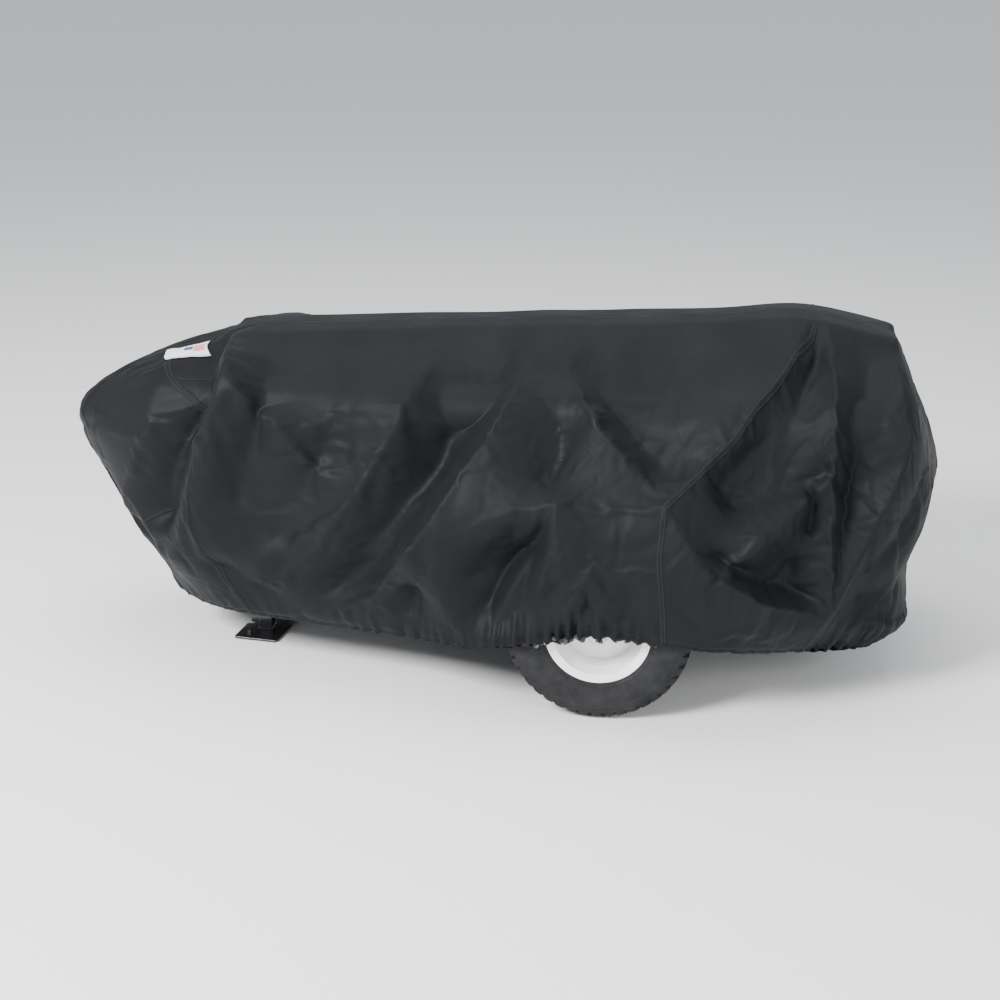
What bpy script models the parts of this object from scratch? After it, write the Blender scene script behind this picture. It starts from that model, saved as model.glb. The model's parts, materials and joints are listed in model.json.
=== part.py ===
"""A tow-behind salt spreader parked on its drop leg under a fitted fabric cover.

Metres, +Z up. The drawbar points along -X and the spinner is at +X; the driving wheel is at -Y.
The origin is on the ground under the middle of the whole machine.
"""

from math import asin, atan2, cos, hypot, pi, radians, sin

import bmesh
import bpy
import numpy as np
from mathutils import Vector

GAP = 0.0004  # air left between neighbouring pieces

# Running gear
AXLE_X = 0.27
AXLE_Z = 0.203
AXLE_R = 0.0125
TRACK_HALF = 0.42
TYRE_R = 0.203
TYRE_HALF_W = 0.060
RIM_R = 0.1145
RIM_SEAT_R = 0.1012
RIM_HALF_W = 0.054
HUB_R = 0.028
CAP_R = 0.019
CAP_END = 0.495

# Bent-tube frame
RAIL_Y = 0.17
RAIL_Z = 0.255
RAIL_R = 0.019
RAIL_REAR_X = 0.80
RAIL_BEND_X = -0.46

# Drive train
SHAFT_R = 0.009
SPINNER_X = 0.72
AUGER_Z = 0.395
CHAIN_X = -0.530
FIRST_PAIR = (16, 8, 0.055, 0.015)  # gear teeth, pinion teeth, cone distance, face width
SECOND_PAIR = (20, 10, 0.042, 0.012)

# Hopper
TROUGH_R = 0.062
HOPPER_FRONT_X = -0.497
HOPPER_REAR_X = 0.847
RIM_Y = 0.28
RIM_Z = 0.655
SHEET = 0.003
LIP = 0.022
OUTLET = (0.60, 0.71, 0.045)  # front x, rear x and half width

# Parking stand
STAND_X = -0.565
STAND_Y = -0.081
STAND_TUBE = 0.016
STAND_TOP_Z = 0.37

# Ridge that holds the cover up: x, z along its top
RIDGE_HALF_W = 0.074
RIDGE_TOP = ((-0.590, 0.730), (0.050, 0.765), (0.680, 0.799), (0.850, 0.766))

# Cover: its sheet, and columns from the ridge's edge down to the hem, front centre to rear centre
COVER_T = 0.003
COVER_SEAM = 0.010  # half the gap between two panels, as a share of a column's spacing
COVER_COLUMNS = (
    ((-0.610, 0.000, 0.740), (-0.800, 0.000, 0.682), (-0.978, 0.000, 0.570),
     (-0.992, 0.000, 0.430), (-0.900, 0.000, 0.250), (-0.780, 0.000, 0.100)),
    ((-0.610, -0.045, 0.740), (-0.800, -0.110, 0.668), (-0.965, -0.090, 0.555),
     (-0.975, -0.095, 0.430), (-0.860, -0.160, 0.260), (-0.730, -0.150, 0.105)),
    ((-0.607, -0.085, 0.737), (-0.630, -0.275, 0.676), (-0.665, -0.320, 0.540),
     (-0.655, -0.320, 0.400), (-0.620, -0.300, 0.250), (-0.570, -0.260, 0.115)),
    ((-0.300, -0.085, 0.754), (-0.300, -0.330, 0.680), (-0.290, -0.365, 0.540),
     (-0.280, -0.385, 0.400), (-0.265, -0.375, 0.260), (-0.250, -0.350, 0.125)),
    ((0.050, -0.085, 0.773), (0.040, -0.330, 0.676), (0.030, -0.415, 0.560),
     (0.025, -0.490, 0.430), (0.020, -0.500, 0.300), (0.030, -0.495, 0.165)),
    ((0.270, -0.085, 0.783), (0.270, -0.330, 0.678), (0.270, -0.425, 0.560),
     (0.270, -0.498, 0.430), (0.270, -0.512, 0.320), (0.270, -0.513, 0.215)),
    ((0.500, -0.085, 0.795), (0.505, -0.330, 0.680), (0.515, -0.415, 0.560),
     (0.520, -0.490, 0.420), (0.525, -0.498, 0.300), (0.520, -0.485, 0.180)),
    ((0.680, -0.085, 0.808), (0.710, -0.330, 0.680), (0.730, -0.370, 0.550),
     (0.740, -0.385, 0.420), (0.730, -0.370, 0.280), (0.710, -0.330, 0.130)),
    ((0.868, -0.085, 0.773), (0.900, -0.275, 0.675), (0.935, -0.300, 0.550),
     (0.958, -0.295, 0.420), (0.925, -0.280, 0.260), (0.860, -0.230, 0.120)),
    ((0.872, 0.000, 0.773), (0.925, 0.000, 0.675), (0.985, 0.000, 0.550),
     (1.012, 0.000, 0.440), (0.962, 0.000, 0.260), (0.880, 0.000, 0.110)),
)
COVER_FRONT_SEAM = 2
COVER_REAR_SEAM = 8

AXIS_TURN = {"x": (0, pi / 2, 0), "y": (-pi / 2, 0, 0), "z": (0, 0, 0)}
PLANE_TURN = {"xy": (0, 0, 0), "xz": (pi / 2, 0, 0), "yz": (pi / 2, 0, pi / 2)}


# ---- scene and shape helpers ----

def clear_scene():
    for obj in list(bpy.data.objects):
        bpy.data.objects.remove(obj, do_unlink=True)


def new_collection(name):
    collection = bpy.data.collections.new(name)
    bpy.context.scene.collection.children.link(collection)
    return collection


def make_material(name, colour, roughness, metallic=0.0):
    material = bpy.data.materials.new(name)
    material.use_nodes = True
    shader = material.node_tree.nodes["Principled BSDF"]
    shader.inputs["Base Color"].default_value = (*colour, 1)
    shader.inputs["Roughness"].default_value = roughness
    shader.inputs["Metallic"].default_value = metallic
    return material


def add_object(name, data, material=None, is_cutter=False):
    obj = bpy.data.objects.new(name, data)
    (CUTTERS if is_cutter else PARTS).objects.link(obj)
    if is_cutter:
        obj.hide_render = True
        obj.display_type = "WIRE"
    elif material:
        obj.data.materials.append(material)
    return obj


def mesh_from(name, bm):
    mesh = bpy.data.meshes.new(name)
    bm.to_mesh(mesh)
    bm.free()
    return mesh


def smooth(obj):
    obj.data.shade_smooth()
    obj.data.set_sharp_from_angle(angle=radians(40))


def bevel(obj, width, segments=2):
    modifier = obj.modifiers.new("rounded edges", "BEVEL")
    modifier.width = width
    modifier.segments = segments
    modifier.limit_method = "ANGLE"


def boolean(target, other, operation="DIFFERENCE"):
    modifier = target.modifiers.new(operation.lower(), "BOOLEAN")
    modifier.operation = operation
    modifier.object = other


def box(name, low, high, material=None, is_cutter=False, rounding=0.0):
    bm = bmesh.new()
    bmesh.ops.create_cube(bm, size=1.0)
    size = Vector(high) - Vector(low)
    bmesh.ops.scale(bm, vec=size, verts=bm.verts)
    obj = add_object(name, mesh_from(name, bm), material, is_cutter)
    obj.location = (Vector(high) + Vector(low)) / 2
    if rounding:
        bevel(obj, rounding)
    return obj


def rod(name, centre, axis, radius, length, material=None, is_cutter=False, segments=24):
    bm = bmesh.new()
    bmesh.ops.create_cone(
        bm, cap_ends=True, segments=segments, radius1=radius, radius2=radius, depth=length)
    obj = add_object(name, mesh_from(name, bm), material, is_cutter)
    obj.location = centre
    obj.rotation_euler = AXIS_TURN[axis]
    smooth(obj)
    return obj


def turned(name, profile, location, axis, material, steps=32, closed=True, flipped=False):
    """A profile of (radius, height) turned about the axis. It runs down its outer side."""
    if flipped:
        profile = [(r, -h) for r, h in reversed(profile)]
    mesh = bpy.data.meshes.new(name)
    count = len(profile)
    edges = [(i, i + 1) for i in range(count - 1)]
    if closed:
        edges.append((count - 1, 0))
    mesh.from_pydata([(r, 0, h) for r, h in profile], edges, [])
    obj = add_object(name, mesh, material)
    screw = obj.modifiers.new("turn", "SCREW")
    screw.steps = steps
    screw.render_steps = steps
    screw.use_merge_vertices = True
    screw.merge_threshold = 0.0001
    screw.use_smooth_shade = True
    obj.location = location
    obj.rotation_euler = AXIS_TURN[axis]
    return obj


def plate(name, outlines, thickness, location, plane, material=None, is_cutter=False):
    """A flat shape between outlines, the later ones being holes, centred on its plane."""
    curve = bpy.data.curves.new(name, "CURVE")
    curve.dimensions = "2D"
    curve.fill_mode = "BOTH"
    curve.extrude = thickness / 2
    for outline in outlines:
        spline = curve.splines.new("POLY")
        spline.points.add(len(outline) - 1)
        spline.use_cyclic_u = True
        for point, (u, v) in zip(spline.points, outline):
            point.co = (u, v, 0, 1)
    obj = add_object(name, curve, material, is_cutter)
    obj.location = location
    obj.rotation_euler = PLANE_TURN[plane]
    return obj


def tube(name, points, radius, material, resolution=2, cyclic=False):
    curve = bpy.data.curves.new(name, "CURVE")
    curve.dimensions = "3D"
    curve.bevel_depth = radius
    curve.bevel_resolution = resolution
    curve.use_fill_caps = not cyclic
    spline = curve.splines.new("POLY")
    spline.points.add(len(points) - 1)
    spline.use_cyclic_u = cyclic
    for point, place in zip(spline.points, points):
        point.co = (*place, 1)
    return add_object(name, curve, material)


def as_mesh(obj):
    """The curve made a mesh with welded caps, so that it can be cut."""
    bpy.context.view_layer.update()
    evaluated = obj.evaluated_get(bpy.context.evaluated_depsgraph_get())
    mesh = bpy.data.meshes.new_from_object(evaluated)
    bm = bmesh.new()
    bm.from_mesh(mesh)
    bmesh.ops.remove_doubles(bm, verts=bm.verts, dist=0.00001)
    bmesh.ops.recalc_face_normals(bm, faces=bm.faces)
    bm.to_mesh(mesh)
    bm.free()
    name, place, collection = obj.name, obj.matrix_world.copy(), obj.users_collection[0]
    is_hidden = obj.hide_render
    bpy.data.objects.remove(obj, do_unlink=True)
    made = bpy.data.objects.new(name, mesh)
    made.matrix_world = place
    made.hide_render = is_hidden
    made.display_type = "WIRE" if is_hidden else "TEXTURED"
    collection.objects.link(made)
    return made


def joint_empty(name, place, children):
    empty = bpy.data.objects.new(name, None)
    empty.empty_display_size = 0.05
    empty.location = place
    PARTS.objects.link(empty)
    for child in children:
        child.parent = empty
        child.location = Vector(child.location) - Vector(place)
    return empty


def circle(radius, count, centre=(0, 0)):
    steps = (2 * pi * i / count for i in range(count))
    return [(centre[0] + radius * cos(a), centre[1] + radius * sin(a)) for a in steps]


def ring_shape(name, rings, material, capped=False):
    """A skin through rings of points, each as long as the next. Open rings close on each other."""
    bm = bmesh.new()
    rows = [[bm.verts.new(p) for p in ring] for ring in rings]
    count = len(rows[0])
    pairs = list(zip(rows, rows[1:]))
    if not capped:
        pairs.append((rows[-1], rows[0]))
    for first, second in pairs:
        for i in range(count):
            j = (i + 1) % count
            bm.faces.new((first[i], first[j], second[j], second[i]))
    if capped:
        bm.faces.new(reversed(rows[0]))
        bm.faces.new(rows[-1])
    bmesh.ops.recalc_face_normals(bm, faces=bm.faces)
    return add_object(name, mesh_from(name, bm), material)


# ---- wheels ----

def tyre(name, side, material):
    outer = [(0.1020, 0.050), (0.1160, 0.050), (0.130, 0.057), (0.160, TYRE_HALF_W),
             (0.188, 0.056), (0.199, 0.046)]
    crown = [(TYRE_R, 0.022)]
    inner = [(0.192, 0.030), (0.180, 0.044), (0.150, 0.049), (0.1020, 0.041)]
    half = outer + crown
    down = [(r, h) for r, h in half] + [(r, -h) for r, h in reversed(half)]
    back = [(r, -h) for r, h in reversed(inner)] + [(r, h) for r, h in inner]
    profile = down + back
    return turned(name, profile, (AXLE_X, side * TRACK_HALF, AXLE_Z), "y", material, steps=28)


def rim(name, side, material):
    profile = [
        (RIM_R, RIM_HALF_W), (RIM_R, RIM_HALF_W - 0.003), (RIM_SEAT_R, RIM_HALF_W - 0.003),
        (RIM_SEAT_R, 0.030), (0.090, 0.022), (0.090, -0.022), (RIM_SEAT_R, -0.030),
        (RIM_SEAT_R, -RIM_HALF_W + 0.003), (RIM_R, -RIM_HALF_W + 0.003), (RIM_R, -RIM_HALF_W),
        (0.098, -RIM_HALF_W), (0.087, -0.020), (0.050, -0.002), (HUB_R + GAP, -0.002),
        (HUB_R + GAP, 0.002), (0.050, 0.002), (0.087, 0.018), (0.098, RIM_HALF_W)]
    return turned(name, profile, (AXLE_X, side * TRACK_HALF, AXLE_Z), "y", material, steps=24)


def hub(name, side, material):
    """A barrel on the axle with a wheel flange behind the rim's disc and a dust cap outside."""
    outboard = CAP_END - TRACK_HALF
    bore_end = 0.485 + GAP - TRACK_HALF
    profile = [
        (0.0, outboard), (CAP_R - 0.003, outboard), (CAP_R, outboard - 0.003), (CAP_R, 0.040),
        (HUB_R, 0.036), (HUB_R, -0.0024), (0.050, -0.0024), (0.050, -0.009), (HUB_R, -0.009),
        (HUB_R, -0.055), (AXLE_R + GAP, -0.055), (AXLE_R + GAP, bore_end), (0.0, bore_end)]
    place = (AXLE_X, side * TRACK_HALF, AXLE_Z)
    return turned(name, profile, place, "y", material, closed=False, flipped=side < 0, steps=20)


# ---- gears ----

def cone_point(distance, cone_angle, turn):
    """A point in the gear's own frame: its apex at the origin and its axis along +Z."""
    return Vector((sin(cone_angle) * cos(turn), sin(cone_angle) * sin(turn), cos(cone_angle))) * distance


def bevel_gear(name, teeth, mate, cone_distance, face, bore, hub_length, apex, turn, material,
               first_tooth=0.0):
    """Straight bevel gear whose teeth all point at the apex. turn carries +Z onto its axis."""
    pitch_angle = atan2(teeth, mate)
    module_angle = 2 * sin(pitch_angle) / teeth
    top = pitch_angle + 0.85 * module_angle
    root = pitch_angle - 1.05 * module_angle
    step = 2 * pi / teeth
    shares = ((-0.34, root), (-0.11, top), (0.11, top), (0.34, root))
    outline = [((i + share) * step + first_tooth, angle) for i in range(teeth) for share, angle in shares]
    far = [cone_point(cone_distance, angle, at) for at, angle in outline]
    near = [cone_point(cone_distance - face, angle, at) for at, angle in outline]
    back = cone_distance * cos(pitch_angle) + hub_length
    front = (cone_distance - face) * cos(pitch_angle) - 0.004
    collar = bore + 0.007
    rings = [
        far,
        [Vector((collar * cos(at), collar * sin(at), back - hub_length + 0.004)) for at, _ in outline],
        [Vector((collar * cos(at), collar * sin(at), back)) for at, _ in outline],
        [Vector((bore * cos(at), bore * sin(at), back)) for at, _ in outline],
        [Vector((bore * cos(at), bore * sin(at), front)) for at, _ in outline],
        near]
    gear = ring_shape(name, rings, material)
    gear.location = apex
    gear.rotation_euler = turn
    return gear


def sprocket(name, teeth, tip, place, bore, material):
    step = 2 * pi / teeth
    root = tip - 0.0055
    outline = []
    for i in range(teeth):
        for share, radius in ((-0.36, root), (-0.10, tip), (0.10, tip), (0.36, root)):
            angle = (i + share) * step
            outline.append((radius * cos(angle), radius * sin(angle)))
    return plate(name, [outline, circle(bore, 20)], 0.004, place, "yz", material)


def belt_outline(low_r, high_r, rise, count=14):
    """The closed line that wraps a circle at the origin and another one rise above it."""
    lean = asin((high_r - low_r) / rise)
    points = []
    for i in range(count + 1):
        angle = -lean + (pi + 2 * lean) * i / count
        points.append((high_r * cos(angle), rise + high_r * sin(angle)))
    for i in range(count + 1):
        angle = pi + lean + (pi - 2 * lean) * i / count
        points.append((low_r * cos(angle), low_r * sin(angle)))
    return points


# ---- frame ----

def side_rail(name, side, material):
    """Straight under the hopper, then bent in and up to the coupler."""
    path = [
        (RAIL_REAR_X, RAIL_Y, RAIL_Z), (RAIL_BEND_X, RAIL_Y, RAIL_Z),
        (RAIL_BEND_X - 0.04, RAIL_Y - 0.008, RAIL_Z + 0.008), (-0.74, 0.062, 0.415),
        (-0.78, 0.050, 0.430), (-0.90, 0.050, 0.442)]
    return tube(name, [(x, side * y, z) for x, y, z in path], RAIL_R, material, resolution=3)


def crossmember(name, x, material):
    width = 0.036
    reach = RAIL_Y - RAIL_R - GAP
    bar = box(name, (x - width / 2, -reach, RAIL_Z - 0.014), (x + width / 2, reach, RAIL_Z + 0.014),
              material, rounding=0.002)
    return bar


def hanger_bearing(name, x, y, shaft_r, half_width, axis, material):
    """A flanged block hung under the frame, bored for a shaft at the axle's height."""
    top = RAIL_Z - (RAIL_R if abs(y) > 0.1 else 0.014) - GAP
    along = 0.045
    half = (along, half_width) if axis == "y" else (half_width, along)
    body = box(name, (x - half[0], y - half[1], AXLE_Z - 0.032), (x + half[0], y + half[1], top),
               material, rounding=0.003)
    hole = rod(name + "_bore", (x, y, AXLE_Z), axis, shaft_r + GAP, 0.2, is_cutter=True)
    boolean(body, hole)
    return body


def coupler(material):
    """Pressed coupler: a channel over the two tubes with a ball socket in its nose."""
    low = Vector((-0.972, -0.029, 0.436))
    body = box("coupler_body", low, (-0.800, 0.029, 0.500), material, rounding=0.008)
    socket = rod("coupler_socket", (-0.938, 0, 0.452), "z", 0.0243, 0.060, is_cutter=True, segments=28)
    boolean(body, socket)
    boolean(body, box("coupler_slot", (-0.905, -0.020, 0.40), (-0.79, 0.020, 0.488), is_cutter=True))
    return body


def coupler_latch(material):
    """A lever along the coupler's top, hinged at its rear end."""
    outline = [(0, -0.006), (0.004, -0.0045), (0.006, 0), (0.004, 0.006), (-0.020, 0.014),
               (-0.085, 0.016), (-0.112, 0.030), (-0.118, 0.026), (-0.090, 0.008), (-0.030, 0.004)]
    return plate("coupler_latch", [outline], 0.024, (-0.825, 0, 0.5074), "xz", material)


# ---- hopper ----

def trough_line(offset):
    """Half of the trough's section, moved outwards by offset: rim, slope, and round bottom."""
    reach, rise = RIM_Y, RIM_Z - AUGER_Z
    slope = atan2(rise, reach) + asin(TROUGH_R / hypot(reach, rise))
    start = slope - pi / 2
    points = [(RIM_Y + offset * cos(start), RIM_Z + offset * sin(start))]
    for i in range(9):
        angle = start + (-pi / 2 - start) * i / 8
        radius = TROUGH_R + offset
        points.append((radius * cos(angle), AUGER_Z + radius * sin(angle)))
    return points


def mirrored(points):
    return [(-y, z) for y, z in reversed(points) if y > 1e-9]


def hopper_trough(material):
    outer = trough_line(SHEET)
    inner = trough_line(0)
    half = [(RIM_Y + LIP, RIM_Z), (RIM_Y + LIP, outer[0][1])] + outer
    outside = half + mirrored(half)
    inside = mirrored(inner)[::-1] + inner[:-1][::-1]
    outline = outside + [(-RIM_Y, RIM_Z)] + inside[1:-1] + [(RIM_Y, RIM_Z)]
    length = HOPPER_REAR_X - HOPPER_FRONT_X
    place = ((HOPPER_REAR_X + HOPPER_FRONT_X) / 2, 0, 0)
    trough = as_mesh(plate("hopper_trough", [outline], length, place, "yz", material))
    front, rear, half_width = OUTLET
    hole = box("outlet_hole", (front, -half_width, 0.30), (rear, half_width, 0.38), is_cutter=True)
    boolean(trough, hole)
    return trough


def hopper_wall(name, x, material):
    line = [(RIM_Y + LIP, RIM_Z)] + [(RIM_Y + LIP, RIM_Z - 0.03)] + trough_line(0.016)[1:]
    outline = line + mirrored(line)
    hole = circle(SHAFT_R + GAP, 24, (0, AUGER_Z))
    return plate(name, [outline, hole], SHEET, (x, 0, 0), "yz", material)


def cradle(name, x, material):
    """A plate that stands on both rails and holds the trough in its notch."""
    foot = RAIL_Z + RAIL_R + GAP
    slope = trough_line(SHEET + 2 * GAP)
    top_z = 0.56
    share = (top_z - slope[1][1]) / (slope[0][1] - slope[1][1])
    top_y = slope[1][0] + share * (slope[0][0] - slope[1][0])
    half = [(RAIL_Y + 0.035, foot), (top_y + 0.045, top_z), (top_y, top_z)] + slope[1:]
    outline = half + mirrored(half)
    return plate(name, [outline], 0.006, (x, 0, 0), "yz", material)


def ridge_height(x):
    xs, zs = zip(*RIDGE_TOP)
    return float(np.interp(x, xs, zs))


def ridge_board(material):
    under = [(x, z - 0.012) for x, z in reversed(RIDGE_TOP)]
    outline = list(RIDGE_TOP) + under
    board = plate("ridge_board", [outline], 2 * RIDGE_HALF_W, (0, 0, 0), "xz", material)
    return board


def ridge_bow(name, x, material):
    """A bent tube from one hopper rim over to the other, under the ridge board."""
    radius = 0.009
    foot = RIM_Z + radius + GAP
    top = ridge_height(x) - 0.012 - radius - 0.002
    path = [(x, -0.292, foot), (x, -0.082, top - 0.006), (x, -0.070, top), (x, 0.070, top),
            (x, 0.082, top - 0.006), (x, 0.292, foot)]
    return tube(name, path, radius, material)


# ---- feed and spreading ----

def auger_flight(material):
    """A helical strip round the auger's shaft."""
    pitch, inner, outer, half_t = 0.100, SHAFT_R + GAP, 0.055, 0.0015
    start, end, per_turn = HOPPER_FRONT_X + 0.010, OUTLET[1] + 0.015, 12
    count = int((end - start) / pitch * per_turn)
    rings = []
    for i in range(count + 1):
        angle = 2 * pi * i / per_turn
        x = start + pitch * i / per_turn
        y, z = cos(angle), sin(angle)
        rings.append([
            Vector((x - half_t, y * inner, z * inner)), Vector((x - half_t, y * outer, z * outer)),
            Vector((x + half_t, y * outer, z * outer)), Vector((x + half_t, y * inner, z * inner))])
    flight = ring_shape("auger_flight", rings, material, capped=True)
    flight.location = (0, 0, AUGER_Z)
    return flight


def spinner_disc(material):
    """A dished disc with four radial vanes, clamped on the spinner's shaft."""
    place = (SPINNER_X, 0, 0.289)
    hub_r = 0.020
    profile = [(0, 0.020), (hub_r, 0.020), (hub_r + 0.002, 0.003), (0.130, 0.003), (0.130, 0),
               (0.024, 0), (0.024, -0.008), (SHAFT_R + GAP, -0.008), (SHAFT_R + GAP, 0.010), (0, 0.010)]
    disc = turned("spinner_disc", profile, place, "z", material, closed=False, steps=32)
    half_t, start, reach = 0.0025, 0.018, 0.124
    for i, (x, y) in enumerate(((1, 0), (0, 1), (-1, 0), (0, -1))):
        ends = (Vector((x, y, 0)) * start, Vector((x, y, 0)) * reach)
        side = Vector((abs(y), abs(x), 0)) * half_t
        low = Vector(map(min, *ends)) - side + Vector((0, 0, 0.001))
        high = Vector(map(max, *ends)) + side + Vector((0, 0, 0.014))
        boolean(disc, box(f"vane_{i}", Vector(place) + low, Vector(place) + high, is_cutter=True), "UNION")
    return disc


def discharge_chute(material):
    """An open box under the hopper's outlet that drops the salt on the spinner."""
    front, rear, half_width = OUTLET
    low, high, wall = 0.3095, 0.3190, 0.003
    shell = box("discharge_chute", (front - 0.008, -half_width - 0.03, low),
                (rear + 0.008, half_width + 0.03, high), material)
    boolean(shell, box("chute_hole", (front + wall, -half_width, 0.25), (rear - wall, half_width, 0.4),
                       is_cutter=True))
    return shell


def feed_gate(material):
    """A flat slide under the hopper's outlet with a pull rod at its left edge."""
    front, rear, half_width = OUTLET
    low = 0.3190 + GAP
    gate = box("feed_gate", (front - 0.004, -half_width - 0.030, low),
               (rear + 0.004, half_width + 0.020, low + 0.003), material)
    return gate


def spinner_deflector(material):
    """A hinged flap behind the spinner, folded up for storage."""
    lean, length, t = radians(42), 0.092, 0.003
    start = 0.007
    outline = [(start * cos(lean), start * sin(lean)), (length * cos(lean), length * sin(lean))]
    normal = (-t * sin(lean), t * cos(lean))
    outline += [(u + normal[0], v + normal[1]) for u, v in reversed(outline)]
    return plate("spinner_deflector", [outline], 0.34, (0.869, 0, 0.360), "xz", material)


# ---- cover ----

def catmull(points, at):
    """A smooth curve through the points at a place counted in points."""
    last = len(points) - 1
    i = min(int(at), last - 1)
    u = at - i
    p1, p2 = points[i], points[i + 1]
    p0 = points[i - 1] if i else 2 * p1 - p2
    p3 = points[i + 2] if i + 2 <= last else 2 * p2 - p1
    slope_1, slope_2 = (p2 - p0) / 2, (p3 - p1) / 2
    return ((2 * u**3 - 3 * u**2 + 1) * p1 + (u**3 - 2 * u**2 + u) * slope_1
            + (3 * u**2 - 2 * u**3) * p2 + (u**3 - u**2) * slope_2)


def cover_point(around, down):
    columns = [[np.array(p) for p in column] for column in COVER_COLUMNS]
    row = [catmull(column, down) for column in columns]
    return catmull(row, around)


def cover_rows(start, end, columns, rows, with_top):
    """A grid of points on the cover's left half, one list per row from the ridge to the hem."""
    steps = [start + (end - start) * i / columns for i in range(columns + 1)]
    grid = []
    if with_top:
        for share in (0.0, 0.55):
            line = []
            for s in steps:
                x, y, z = cover_point(s, 0)
                line.append((x, y * share, z + 0.004 * (1 - share)))
            grid.append(line)
    last = len(COVER_COLUMNS[0]) - 1
    for j in range(rows + 1):
        down = 0.012 + (last - 0.012) * j / rows if not with_top else last * j / rows
        grid.append([tuple(cover_point(s, down)) for s in steps])
    return grid


def cover_panel(name, start, end, columns, rows, material, with_top=False):
    grid = cover_rows(start, end, columns, rows, with_top)
    bm = bmesh.new()
    verts = [[bm.verts.new(p) for p in line] for line in grid]
    for upper, lower in zip(verts, verts[1:]):
        for i in range(len(upper) - 1):
            bm.faces.new((upper[i], lower[i], lower[i + 1], upper[i + 1]))
    panel = add_object(name, mesh_from(name, bm), material)
    mirror = panel.modifiers.new("both sides", "MIRROR")
    mirror.use_axis = (False, True, False)
    mirror.merge_threshold = 0.0001
    solidify = panel.modifiers.new("sheet", "SOLIDIFY")
    solidify.thickness = COVER_T
    solidify.offset = -1
    solidify.use_even_offset = True
    smooth(panel)
    return panel


def cover_hem(material):
    """The elastic cord's casing, round the cover's lower edge."""
    last = len(COVER_COLUMNS) - 1
    radius = 0.006
    drop = Vector((0, 0, -radius - 0.003))
    places = [Vector(cover_point(last * i / 26, len(COVER_COLUMNS[0]) - 1)) + drop for i in range(27)]
    other = [Vector((p.x, -p.y, p.z)) for p in reversed(places[1:-1])]
    return tube("cover_elastic_hem", places + other, radius, material, resolution=2, cyclic=True)


def cover_label(material):
    """A sewn patch on the front panel, just outside the sheet."""
    bm = bmesh.new()
    centre_s, centre_t, half_s, half_t = 1.30, 0.62, 0.22, 0.22
    lines = []
    for j in range(3):
        line = []
        for i in range(4):
            s = centre_s + half_s * (2 * i / 3 - 1)
            t = centre_t + half_t * (j - 1)
            here = Vector(cover_point(s, t))
            across = Vector(cover_point(s + 0.02, t)) - here
            along = Vector(cover_point(s, t + 0.02)) - here
            out = across.cross(along).normalized()
            out = out if out.y < 0 else -out
            line.append(bm.verts.new(here + 0.0022 * out))
        lines.append(line)
    for upper, lower in zip(lines, lines[1:]):
        for i in range(3):
            bm.faces.new((upper[i], lower[i], lower[i + 1], upper[i + 1]))
    label = add_object("cover_label", mesh_from("cover_label", bm), material)
    solidify = label.modifiers.new("sheet", "SOLIDIFY")
    solidify.thickness = 0.0008
    solidify.offset = 0
    return label


# ---- assembly ----

def build_running_gear():
    rubber = make_material("tyre_rubber", (0.02, 0.02, 0.02), 0.8)
    white = make_material("white_enamel", (0.85, 0.85, 0.83), 0.35)
    zinc = make_material("zinc_plate", (0.55, 0.55, 0.54), 0.4, 0.9)
    steel = make_material("axle_steel", (0.45, 0.45, 0.45), 0.4, 1.0)
    centre = (AXLE_X, 0, AXLE_Z)
    left = [tyre("left_tyre", -1, rubber), rim("left_rim", -1, white), hub("left_hub", -1, zinc)]
    right = [tyre("right_tyre", 1, rubber), rim("right_rim", 1, white), hub("right_hub", 1, zinc)]
    axle = rod("axle_shaft", centre, "y", AXLE_R, 0.970, steel, segments=24)
    teeth, mate, distance, face = FIRST_PAIR
    gear = bevel_gear("axle_bevel_gear", teeth, mate, distance, face, AXLE_R + GAP, 0.014, centre,
                      (-pi / 2, 0, 0), steel)
    joint_empty("axle_joint", centre, left + [axle, gear])
    joint_empty("right_wheel_joint", centre, right)


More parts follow.
